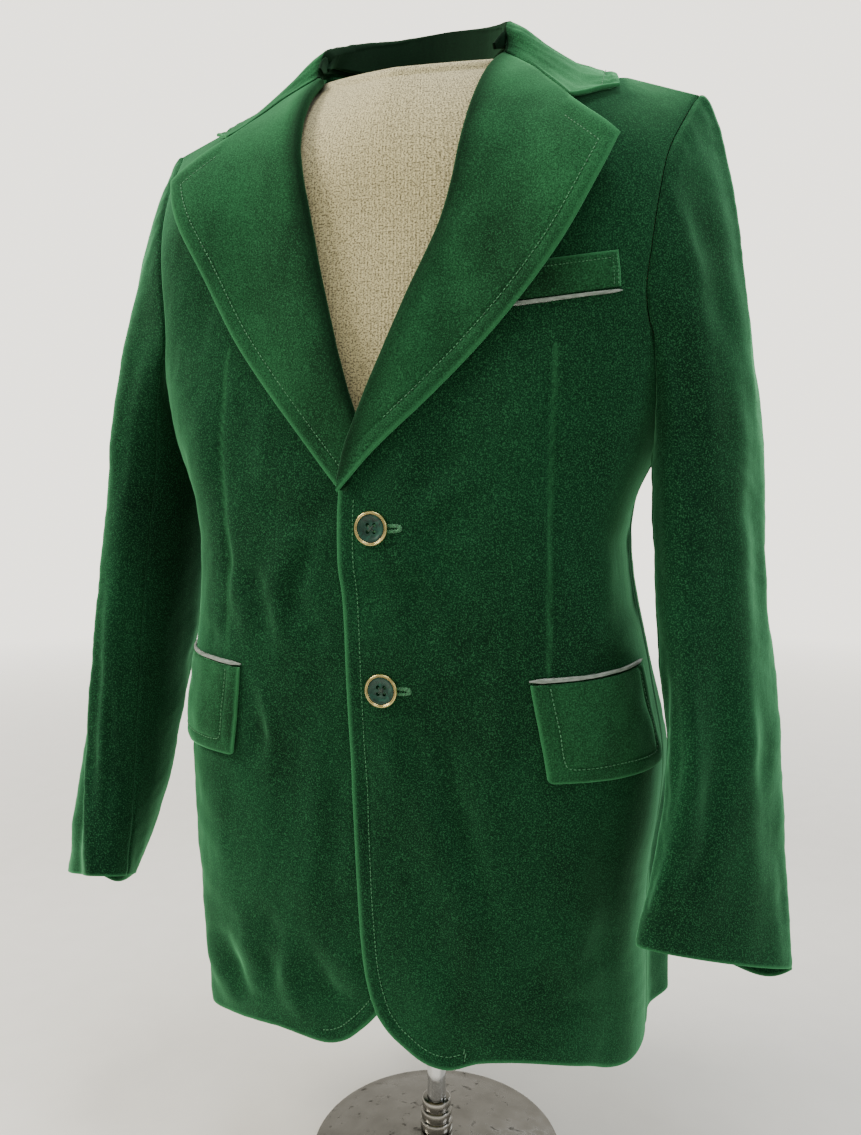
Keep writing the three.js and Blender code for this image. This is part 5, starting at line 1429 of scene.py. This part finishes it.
def pole_outline():
    foot = BASE_DOME + FORM_GAP
    heights = np.linspace(foot, POLE_TOP, 30)
    return [(0, foot)] + [(POLE_R, float(z)) for z in heights] + [(0, POLE_TOP)]


# ---------- finishes ----------
def linear(colour):
    """A '#rrggbb' colour as linear RGBA."""
    parts = [int(colour[i:i + 2], 16) / 255 for i in (1, 3, 5)]
    return tuple(c / 12.92 if c <= 0.04045 else ((c + 0.055) / 1.055) ** 2.4 for c in parts) + (1.0,)


def node(tree, kind, settings=None, links=None):
    """Add a node; settings are its properties or its sockets' values, links feed its sockets."""
    made = tree.nodes.new(kind)
    for key, value in (settings or {}).items():
        if isinstance(key, str) and hasattr(made, key):
            setattr(made, key, value)
        else:
            made.inputs[key].default_value = value
    for key, source in (links or {}).items():
        tree.links.new(source, made.inputs[key])
    return made


def finish(name):
    """A new material's node tree with its shader."""
    material = bpy.data.materials.new(name)
    material.use_nodes = True
    tree = material.node_tree
    tree.nodes.clear()
    shader = node(tree, "ShaderNodeBsdfPrincipled")
    node(tree, "ShaderNodeOutputMaterial", links={"Surface": shader.outputs[0]})
    return material, tree, shader


def noise(tree, place, size, detail=2.0, stretch=(1, 1, 1), distortion=0.0):
    """Noise whose lumps are about size millimetres, on places in metres."""
    moved = node(tree, "ShaderNodeMapping", {"Scale": stretch}, {"Vector": place})
    grain = {"Scale": 1000 / size, "Detail": detail, "Distortion": distortion}
    return node(tree, "ShaderNodeTexNoise", grain, {"Vector": moved.outputs[0]}).outputs["Fac"]


def band(tree, value, low, high, out_low=0.0, out_high=1.0):
    """Turn values from low to high into values from out_low to out_high."""
    reach = {"From Min": low, "From Max": high, "To Min": out_low, "To Max": out_high}
    return node(tree, "ShaderNodeMapRange", reach, {"Value": value}).outputs[0]


def mix(tree, share, a, b):
    """A blend of two colours; each may be a colour or another node's output."""
    made = node(tree, "ShaderNodeMix", {"data_type": "RGBA"})
    for key, value in ((0, share), (6, a), (7, b)):
        if isinstance(value, bpy.types.NodeSocket):
            tree.links.new(value, made.inputs[key])
        else:
            made.inputs[key].default_value = value
    return made.outputs[2]


def velvet(name, dark, light, pale, brush):
    """Short-pile cotton velvet: dark where the pile is seen end on, light along its sides and folds, with
    painted sheen on folded edges and darts and painted shade on the rolls and the collar stand.
    """
    material, tree, shader = finish(name)
    place = node(tree, "ShaderNodeTexCoord").outputs["Object"]
    # The cloth's own attribute: painted sheen where it is above zero, painted shade where it is below.
    painted_sheen_shade = node(tree, "ShaderNodeAttribute", {"attribute_name": "painted_sheen_shade"}).outputs["Fac"]
    # Pile brushed this way and that in soft patches of a few centimetres, and tufts of about
    # 1 mm, coarser than the real pile of 0.3 mm so that they show.
    patches = noise(tree, place, brush, 2.0, (1, 1, 0.7), 0.3)
    strokes = noise(tree, place, 12.0, 3.0, (1, 1, 0.5), 0.2)
    tufts = noise(tree, place, 0.95, 2.0)
    specks = noise(tree, place, 1.6, 2.0)
    ground = mix(tree, band(tree, patches, 0.26, 0.76), dark, light)
    ground = mix(tree, band(tree, strokes, 0.4, 0.8, 0.0, 0.35), ground, light)
    ground = mix(tree, band(tree, tufts, 0.5, 0.7, 0.0, 0.45), ground, pale)
    ground = mix(tree, band(tree, tufts, 0.5, 0.32, 0.0, 0.7), ground, dark)
    ground = mix(tree, band(tree, specks, 0.66, 0.8, 0.0, 0.3), ground, pale)
    # Painted sheen: lighter along folded edges and darts, where the attribute is above zero.
    ground = mix(tree, band(tree, painted_sheen_shade, 0.1, 0.8, 0.0, 0.6), ground, pale)
    # Painted shade: the end-on colour at three tenths, over the rolls of the lapels and the leaf and over the
    # collar stand, where the attribute is below zero.
    deep = tuple(c * 0.3 for c in dark[:3]) + (1.0,)
    ground = mix(tree, band(tree, painted_sheen_shade, -0.05, -1.0, 0.0, 0.92), ground, deep)
    tree.links.new(ground, shader.inputs["Base Color"])
    turned = node(tree, "ShaderNodeLayerWeight", {"Blend": 0.45}).outputs["Facing"]
    # The painted shade also cuts the sheen there.
    pile = node(tree, "ShaderNodeMath", {"operation": "MULTIPLY"}, {
        0: band(tree, turned, 0.1, 0.9, 0.3, 1.0), 1: band(tree, painted_sheen_shade, -0.05, -1.0, 1.0, 0.15)})
    tree.links.new(pile.outputs[0], shader.inputs["Sheen Weight"])
    for key, value in {"Roughness": 0.9, "Specular IOR Level": 0.06, "Sheen Roughness": 0.42,
                       "Sheen Tint": linear("#6cc088"), "IOR": 1.5}.items():
        shader.inputs[key].default_value = value
    fine = node(tree, "ShaderNodeBump", {"Strength": 0.25, "Distance": 0.0005}, {"Height": tufts})
    soft = node(tree, "ShaderNodeBump", {"Strength": 0.3, "Distance": 0.0014},
                {"Height": strokes, "Normal": fine.outputs[0]})
    tree.links.new(soft.outputs[0], shader.inputs["Normal"])
    return material


def satin(name, colour, dark):
    """Silk satin cut on the cross: long floats give a bright, slightly broken gloss."""
    material, tree, shader = finish(name)
    cloth = node(tree, "ShaderNodeUVMap", {"uv_map": "cloth"}).outputs[0]
    slubs = noise(tree, cloth, 1.6, 3.0, (0.25, 1, 1))
    waves = noise(tree, cloth, 16.0, 2.0)
    ground = mix(tree, band(tree, slubs, 0.3, 0.75), dark, colour)
    ground = mix(tree, band(tree, waves, 0.55, 0.3, 0.0, 0.35), ground, dark)
    tree.links.new(ground, shader.inputs["Base Color"])
    for key, value in {"Roughness": 0.34, "Sheen Weight": 0.35, "Sheen Roughness": 0.4, "IOR": 1.5,
                       "Anisotropic": 0.4}.items():
        shader.inputs[key].default_value = value
    bump = node(tree, "ShaderNodeBump", {"Strength": 0.5, "Distance": 0.0004}, {"Height": slubs})
    tree.links.new(bump.outputs[0], shader.inputs["Normal"])
    return material


def jersey(name, colour, dark, light):
    """Heathered knit jersey: fine upright ribs of stitches with darker yarns across."""
    material, tree, shader = finish(name)
    cloth = node(tree, "ShaderNodeUVMap", {"uv_map": "cloth"}).outputs[0]
    # Ribs 1.6 mm apart, a little coarser than a real knit's 1 mm so that they show.
    ribs = {"bands_direction": "X", "Scale": 1000 / 1.6 / 20 * 2, "Distortion": 2.6,
            "Detail": 2.0, "Detail Scale": 2.0}
    rib = node(tree, "ShaderNodeTexWave", ribs, {"Vector": cloth}).outputs["Fac"]
    yarns = noise(tree, cloth, 1.6, 2.0, (0.7, 1.3, 1))
    heather = noise(tree, cloth, 5.0, 3.0, (0.6, 1.2, 1))
    slubs = noise(tree, cloth, 1.4, 2.0, (0.7, 1.3, 1))
    ground = mix(tree, band(tree, rib, 0.0, 1.0, 0.0, 0.4), colour, light)
    ground = mix(tree, band(tree, yarns, 0.46, 0.62, 0.0, 0.9), ground, dark)
    ground = mix(tree, band(tree, heather, 0.52, 0.72, 0.0, 0.45), ground, dark)
    ground = mix(tree, band(tree, slubs, 0.58, 0.74, 0.0, 0.7), ground, light)
    tree.links.new(ground, shader.inputs["Base Color"])
    for key, value in {"Roughness": 0.92, "Specular IOR Level": 0.25, "Sheen Weight": 0.3,
                       "Sheen Roughness": 0.5}.items():
        shader.inputs[key].default_value = value
    first = node(tree, "ShaderNodeBump", {"Strength": 0.5, "Distance": 0.0004}, {"Height": rib})
    second = node(tree, "ShaderNodeBump", {"Strength": 0.4, "Distance": 0.0005},
                  {"Height": yarns, "Normal": first.outputs[0]})
    tree.links.new(second.outputs[0], shader.inputs["Normal"])
    return material


def twisted_thread(name, colour, dark):
    """Mercerised cotton thread, twisted, a little lighter than the pile round it."""
    material, tree, shader = finish(name)
    place = node(tree, "ShaderNodeTexCoord").outputs["Object"]
    strands = noise(tree, place, 1.1, 2.0)
    tree.links.new(mix(tree, band(tree, strands, 0.3, 0.7), dark, colour), shader.inputs["Base Color"])
    for key, value in {"Roughness": 0.62, "Sheen Weight": 0.6, "Sheen Roughness": 0.4,
                       "Sheen Tint": linear("#a8dcb4")}.items():
        shader.inputs[key].default_value = value
    return material


def polyester(name, dark, light):
    """Cast polyester, dyed through and polished: faint clouds under a clear gloss."""
    material, tree, shader = finish(name)
    place = node(tree, "ShaderNodeTexCoord").outputs["Object"]
    clouds = noise(tree, place, 6.0, 3.0, (1, 1, 1), 1.5)
    scuffs = noise(tree, place, 1.3, 3.0)
    tree.links.new(mix(tree, band(tree, clouds, 0.35, 0.7), dark, light), shader.inputs["Base Color"])
    tree.links.new(band(tree, scuffs, 0.3, 0.8, 0.28, 0.45), shader.inputs["Roughness"])
    for key, value in {"IOR": 1.4, "Coat Weight": 0.1, "Coat Roughness": 0.2}.items():
        shader.inputs[key].default_value = value
    return material


def metal(name, colour, dark, rough, spots=0.0, spot_size=6.0):
    """A plated or polished metal, with finger-dulled and tarnished places."""
    material, tree, shader = finish(name)
    place = node(tree, "ShaderNodeTexCoord").outputs["Object"]
    clouds = noise(tree, place, 22.0, 3.0)
    grains = noise(tree, place, spot_size, 4.0, (1, 1, 1), 0.4)
    ground = mix(tree, band(tree, clouds, 0.35, 0.75, 0.0, 0.35), colour, dark)
    if spots:
        ground = mix(tree, band(tree, grains, 0.62, 0.72, 0.0, spots), ground, linear("#2b2a26"))
    tree.links.new(ground, shader.inputs["Base Color"])
    tree.links.new(band(tree, grains, 0.3, 0.75, rough * 0.7, rough * 1.6), shader.inputs["Roughness"])
    shader.inputs["Metallic"].default_value = 1.0
    return material


def painted_floor(name, colour, reach):
    """Matt painted floor that fades into the studio's pale light with distance."""
    material, tree, shader = finish(name)
    place = node(tree, "ShaderNodeTexCoord").outputs["Object"]
    grain = noise(tree, place, 40.0, 3.0)
    darker = tuple(c * 0.97 for c in colour[:3]) + (1.0,)
    tree.links.new(mix(tree, band(tree, grain, 0.3, 0.7), colour, darker), shader.inputs["Base Color"])
    shader.inputs["Roughness"].default_value = 0.8
    shader.inputs["Specular IOR Level"].default_value = 0.1
    far = node(tree, "ShaderNodeVectorMath", {"operation": "LENGTH"}, {0: place}).outputs["Value"]
    clear = node(tree, "ShaderNodeBsdfTransparent").outputs[0]
    fade = band(tree, far, reach * 0.3, reach)
    blend = node(tree, "ShaderNodeMixShader", None, {0: fade, 1: shader.outputs[0], 2: clear})
    end = next(n for n in tree.nodes if n.type == "OUTPUT_MATERIAL")
    tree.links.new(blend.outputs[0], end.inputs["Surface"])
    return material


def dress(piece, material, slot, *nodes):
    """Give a finished piece its material and its body, and hide the solids it stands for; its slot is not used.
    """
    piece.data.materials.clear()
    piece.data.materials.append(material)
    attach(piece, "root")
    if nodes:
        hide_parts(*nodes)
    return piece


# ---------- settings ----------
MM = {"unit": "LENGTH", "subtype": "DISTANCE"}


def colour_setting(name, description, value):
    return FloatVectorProperty(name=name, description=description, subtype="COLOR", size=4, min=0, max=1,
                               default=linear(value))


class CoatSizes(bpy.types.PropertyGroup):
    """Sizes of the coat's make."""
    fold_strength: FloatProperty(
        name="Crease strength", description="How deep the drawn creases are",
        default=1.0, min=0, max=1.5)
    mesh_step: FloatProperty(
        name="Cloth step", description="Distance between points of the cloth",
        default=0.0034, min=0.002, max=0.02, **MM)
    stitch_pitch: FloatProperty(
        name="Stitch pitch", description="From one topstitch to the next",
        default=0.0034, min=0.002, max=0.01, **MM)
    stitch_inset: FloatProperty(
        name="Stitch inset", description="From a folded edge to its topstitching",
        default=0.012, min=0.003, max=0.03, **MM)


class CoatColours(bpy.types.PropertyGroup):
    """Colours of the coat's cloth and trimmings."""
    velvet_dark: colour_setting("Velvet, end on", "Pile seen from its ends", "#071f12")
    velvet_light: colour_setting("Velvet, along", "Pile brushed aside", "#0f3b23")
    # The pale colour serves the tufts and specks, and also the painted sheen on folded edges and darts.
    velvet_pale: colour_setting("Velvet, worn", "Folded edges and tufts that catch the light", "#36794c")
    # The lapel colours are the velvet's painted lighter, as painted light on the lapels, the leaf, the flaps and
    # the welt.
    velvet_lit_dark: colour_setting("Lapels, end on", "Pile of the lapels and the leaf seen from its ends", "#0e2817")
    velvet_lit_light: colour_setting("Lapels, along", "Pile of the lapels and the leaf brushed aside", "#215734")
    satin_light: colour_setting("Satin", "Piping of the pockets", "#9aa39b")
    satin_dark: colour_setting("Satin, turned", "Piping where its floats turn away", "#5c6b60")
    thread: colour_setting("Thread", "Topstitching and buttonholes", "#418a59")
    button_dark: colour_setting("Button", "Discs of the buttons", "#0a2a20")
    button_light: colour_setting("Button, clouds", "Lighter clouds in the buttons", "#1b4a3b")
    brass: colour_setting("Brass", "Rims of the buttons", "#c8b87c")


class FormColours(bpy.types.PropertyGroup):
    """Colours of the dress form, its stand and the studio."""
    jersey: colour_setting("Jersey", "Cover of the form", "#cabf8e")
    jersey_dark: colour_setting("Jersey, dark yarn", "Darker yarns across the knit", "#544c33")
    jersey_light: colour_setting("Jersey, ribs", "The knit's raised ribs", "#c9c198")
    chrome: colour_setting("Chrome", "The pole", "#d6d8da")
    nickel: colour_setting("Nickel", "The base and its ring", "#a3a19b")
    floor: colour_setting("Floor", "Painted floor", "#f6f4ee")
    air: colour_setting("Studio air", "Light of the room all round", "#dedad0")


def settings():
    scene = bpy.context.scene
    bench.fold_strength = scene.coat_sizes.fold_strength
    bench.mesh_step = scene.coat_sizes.mesh_step * 1000
    bench.stitch_pitch = scene.coat_sizes.stitch_pitch * 1000
    bench.stitch_inset = scene.coat_sizes.stitch_inset * 1000
    return scene.coat_sizes, scene.coat_colours, scene.form_colours


def front_velvet():
    """The velvet of the fronts and sleeves, made once."""
    colours = bpy.context.scene.coat_colours
    made = bpy.data.materials.get("Cotton velvet, cut pile")
    return made or velvet("Cotton velvet, cut pile", colours.velvet_dark, colours.velvet_light,
                          colours.velvet_pale, 90.0)


def lit_velvet_copy():
    """The same velvet in lighter colours, for the lapels, the leaf, the flaps and the welt, which face up:
    painted light, where they catch the most light.
    """
    colours = bpy.context.scene.coat_colours
    made = bpy.data.materials.get("Cotton velvet, painted lighter")
    return made or velvet("Cotton velvet, painted lighter", colours.velvet_lit_dark, colours.velvet_lit_light,
                          colours.velvet_pale, 70.0)


def back_velvet():
    """The same velvet with a darker end-on colour, for the back and the collar stand."""
    colours = bpy.context.scene.coat_colours
    made = bpy.data.materials.get("Cotton velvet, darker copy")
    return made or velvet("Cotton velvet, darker copy", tuple(c * 0.85 for c in colours.velvet_dark[:3]) + (1,),
                          colours.velvet_light, colours.velvet_pale, 70.0)


def sewing_thread():
    colours = bpy.context.scene.coat_colours
    made = bpy.data.materials.get("Cotton thread")
    return made or twisted_thread("Cotton thread", colours.thread, colours.velvet_light)


def both_sides(make, part, look, slot):
    """Make the left and the right piece of a kind, each in place of its solid."""
    for side, word in SIDES:
        piece = make(side, f"coat_{part}_{word}")
        dress(piece, look(), slot, f"{part}_{word}")


# ---------- operators ----------
class COAT_OT_fronts(bpy.types.Operator):
    """Hang the two fronts, with their darts and waist creases."""
    bl_idname = "coat.fronts"
    bl_label = "Fronts"

    def execute(self, context):
        settings()
        both_sides(make_front, "front", front_velvet, "velvet")
        return {"FINISHED"}


class COAT_OT_backs(bpy.types.Operator):
    """Hang the two halves of the back and their full tail."""
    bl_idname = "coat.backs"
    bl_label = "Back"

    def execute(self, context):
        settings()
        both_sides(make_back, "back", back_velvet, "velvet_back")
        return {"FINISHED"}


class COAT_OT_lapels(bpy.types.Operator):
    """Roll the two lapels over the fronts' edges."""
    bl_idname = "coat.lapels"
    bl_label = "Lapels"

    def execute(self, context):
        settings()
        both_sides(make_lapel, "lapel", lit_velvet_copy, "velvet")
        return {"FINISHED"}


class COAT_OT_collar(bpy.types.Operator):
    """Stand the collar up round the neck and turn its leaf down."""
    bl_idname = "coat.collar"
    bl_label = "Collar"

    def execute(self, context):
        settings()
        stand = make_collar_stand("coat_collar_stand")
        dress(stand, back_velvet(), "velvet_back", "collar_stand")
        leaf = make_collar_leaf("coat_collar_leaf")
        dress(leaf, lit_velvet_copy(), "velvet", "collar_leaf")
        return {"FINISHED"}


class COAT_OT_sleeves(bpy.types.Operator):
    """Set the two-piece sleeves into the armholes."""
    bl_idname = "coat.sleeves"
    bl_label = "Sleeves"

    def execute(self, context):
        settings()
        gap = 0.2
        for side, word in SIDES:
            parts = (("top", SEAM_BACK - 360 + gap, SEAM_FRONT - gap),
                     ("under", SEAM_FRONT + gap, SEAM_BACK - gap))
            for part, first, last in parts:
                piece = make_sleeve(side, first, last, f"coat_sleeve_{word}_{part}")
                dress(piece, front_velvet(), "velvet", f"sleeve_{word}_{part}")
        return {"FINISHED"}


class COAT_OT_pockets(bpy.types.Operator):
    """Sew on the hip flaps, the chest welt and their satin piping."""
    bl_idname = "coat.pockets"
    bl_label = "Pockets"

    def execute(self, context):
        _, colours, _ = settings()
        silk = satin("Silk satin", colours.satin_light, colours.satin_dark)
        for side, word in SIDES:
            flap = make_flap(side, f"hip_flap_{word}_cloth")
            dress(flap, lit_velvet_copy(), "velvet", "hip_flap_" + word)
            piping = make_piping(side, piping_corners(side), f"hip_piping_{word}_satin")
            dress(piping, silk, "satin", "hip_piping_" + word)
        welt = make_welt("chest_welt_cloth")
        dress(welt, lit_velvet_copy(), "velvet", "chest_welt")
        piping = make_piping(1, CHEST_PIPING, "chest_piping_satin")
        dress(piping, silk, "satin", "chest_piping")
        return {"FINISHED"}


class COAT_OT_buttons(bpy.types.Operator):
    """Make the dished buttons in their brass rims, sewn on with crossed thread."""
    bl_idname = "coat.buttons"
    bl_label = "Buttons"

    def execute(self, context):
        _, colours, _ = settings()
        disc_look = polyester("Cast polyester, dark green", colours.button_dark, colours.button_light)
        rim_look = metal("Polished brass", colours.brass, linear("#6a5e36"), 0.26)
        thread_look = twisted_thread("Button thread", linear("#20382c"), linear("#101d17"))
        for name, (x, z) in BUTTONS.items():
            dress(make_button_disc(name + "_disc", x, z), disc_look, "button", name)
            y = button_back(x, z)
            rim = spun(name + "_brass", RIM_OUTLINE, (x, y, z), (0, -1, 0), 72)
            dress(rim, rim_look, "brass", name + "_rim")
            dress(thread_object(name + "_thread", [button_threads(x, z)]), thread_look, "velvet")
        return {"FINISHED"}


class COAT_OT_stitching(bpy.types.Operator):
    """Topstitch the edges and work the buttonholes."""
    bl_idname = "coat.stitching"
    bl_label = "Stitching"

    def execute(self, context):
        settings()
        for side, word in SIDES:
            groups = [front_stitches(side), lapel_stitches(side), flap_stitches(side)]
            dress(thread_object("topstitching_" + word, groups), sewing_thread(), "velvet")
        dress(thread_object("topstitching_collar", [collar_stitches()]), sewing_thread(), "velvet")
        dress(thread_object("topstitching_welt", welt_stitches()), sewing_thread(), "velvet")
        holes = [group for x, z in BUTTONS.values() for group in buttonhole(x, z)]
        dress(thread_object("buttonholes", holes), sewing_thread(), "velvet")
        dress(thread_object("hem_hand_stitch", [hand_stitch()]), sewing_thread(), "velvet")
        return {"FINISHED"}


class COAT_OT_form(bpy.types.Operator):
    """Pad the limbless dress form and cover it with jersey."""
    bl_idname = "coat.form"
    bl_label = "Dress form"

    def execute(self, context):
        _, _, colours = settings()
        look = jersey("Heathered jersey", colours.jersey, colours.jersey_dark, colours.jersey_light)
        dress(make_form("form_jersey"), look, "linen", "dress_form")
        return {"FINISHED"}


class COAT_OT_stand(bpy.types.Operator):
    """Turn the pedestal's base, ring and pole."""
    bl_idname = "coat.stand"
    bl_label = "Stand"

    def execute(self, context):
        _, _, colours = settings()
        nickel = metal("Nickel plate, tarnished", colours.nickel, linear("#5d5a52"), 0.2, 0.8, 9.0)
        chrome = metal("Chrome plate", colours.chrome, linear("#a9acae"), 0.08)
        up, foot = (0, 0, 1), (0, 0, 0)
        dress(spun("pedestal_base", base_outline(), foot, up, 120), nickel, "nickel", "stand_base")
        dress(spun("pedestal_ring", ring_outline(), foot, up, 64), nickel, "nickel", "stand_ring")
        dress(spun("pedestal_pole", pole_outline(), foot, up, 64), chrome, "chrome", "stand_pole")
        return {"FINISHED"}


class COAT_OT_stage(bpy.types.Operator):
    """Set out the floor, the lights and the camera."""
    bl_idname = "coat.stage"
    bl_label = "Stage"

    def execute(self, context):
        _, _, colours = settings()
        scene = context.scene
        clear_selection()
        bpy.ops.mesh.primitive_circle_add(vertices=96, radius=9.0, fill_type="NGON")
        floor = context.object
        floor.name = floor.data.name = "studio_floor"
        floor.data.materials.append(painted_floor("Matt floor paint", tuple(colours.floor), 3.4))
        world = bpy.data.worlds.new("studio")
        world.use_nodes = True
        background = next(n for n in world.node_tree.nodes if n.type == "BACKGROUND")
        background.inputs["Color"].default_value = tuple(colours.air)
        seen = node(world.node_tree, "ShaderNodeLightPath").outputs["Is Camera Ray"]
        world.node_tree.links.new(band(world.node_tree, seen, 0, 1, 0.8, 3.5), background.inputs["Strength"])
        scene.world = world
        lights = (
            ("key", (-1.9, -0.9, 2.0), 0.9, 72.0, "#fff8ec"), ("fill", (2.4, -0.2, 1.6), 1.2, 20.0, "#f4f7ff"),
            ("top", (0.2, -0.5, 2.6), 0.9, 26.0, "#ffffff"), ("rim", (1.0, 1.9, 2.0), 1.4, 26.0, "#f6fbff"),
        )
        for name, place, size, power, colour in lights:
            lamp = bpy.data.lights.new(name, "AREA")
            lamp.shape, lamp.size, lamp.energy = "DISK", size, power
            lamp.color = linear(colour)[:3]
            holder = bpy.data.objects.new(name, lamp)
            holder.location = place
            aim = np.array((0.0, -0.05, 0.6)) - np.array(place)
            flat = math.hypot(aim[0], aim[1])
            holder.rotation_euler = (math.atan2(flat, -aim[2]), 0, math.atan2(-aim[0], aim[1]))
            scene.collection.objects.link(holder)
        camera = bpy.data.cameras.new("camera")
        camera.sensor_fit, camera.sensor_height, camera.lens = "VERTICAL", 36.0, 29.81
        camera.clip_start, camera.clip_end = 0.05, 60
        eye = bpy.data.objects.new("camera", camera)
        eye.location = (0.24442, -0.79947, 0.622)
        eye.rotation_euler = (math.radians(85.2), 0, math.radians(17.39))
        scene.collection.objects.link(eye)
        scene.camera = eye
        return {"FINISHED"}


class COAT_PT_panel(bpy.types.Panel):
    """The coat's pieces, in the order they are made."""
    bl_idname = "COAT_PT_panel"
    bl_label = "Velvet coat"
    bl_space_type = "VIEW_3D"
    bl_region_type = "UI"
    bl_category = "Coat"

    def draw(self, context):
        for group in ("coat_sizes", "coat_colours", "form_colours"):
            values = getattr(context.scene, group)
            box = self.layout.box()
            for name in values.__annotations__:
                box.prop(values, name)
        for operator in OPERATORS:
            self.layout.operator(operator.bl_idname)


OPERATORS = (
    COAT_OT_stage, COAT_OT_form, COAT_OT_stand, COAT_OT_backs, COAT_OT_fronts, COAT_OT_lapels,
    COAT_OT_collar, COAT_OT_sleeves, COAT_OT_pockets, COAT_OT_buttons, COAT_OT_stitching,
)
GROUPS = {"coat_sizes": CoatSizes, "coat_colours": CoatColours, "form_colours": FormColours}


def register():
    for name, group in GROUPS.items():
        bpy.utils.register_class(group)
        setattr(bpy.types.Scene, name, PointerProperty(type=group))
    for operator in OPERATORS:
        bpy.utils.register_class(operator)
    bpy.utils.register_class(COAT_PT_panel)


def unregister():
    bpy.utils.unregister_class(COAT_PT_panel)
    for operator in reversed(OPERATORS):
        bpy.utils.unregister_class(operator)
    for name, group in GROUPS.items():
        delattr(bpy.types.Scene, name)
        bpy.utils.unregister_class(group)


def main():
    register()
    for operator in OPERATORS:
        area, _, word = operator.bl_idname.partition(".")
        getattr(getattr(bpy.ops, area), word)()


if __name__ == "__main__":
    main()
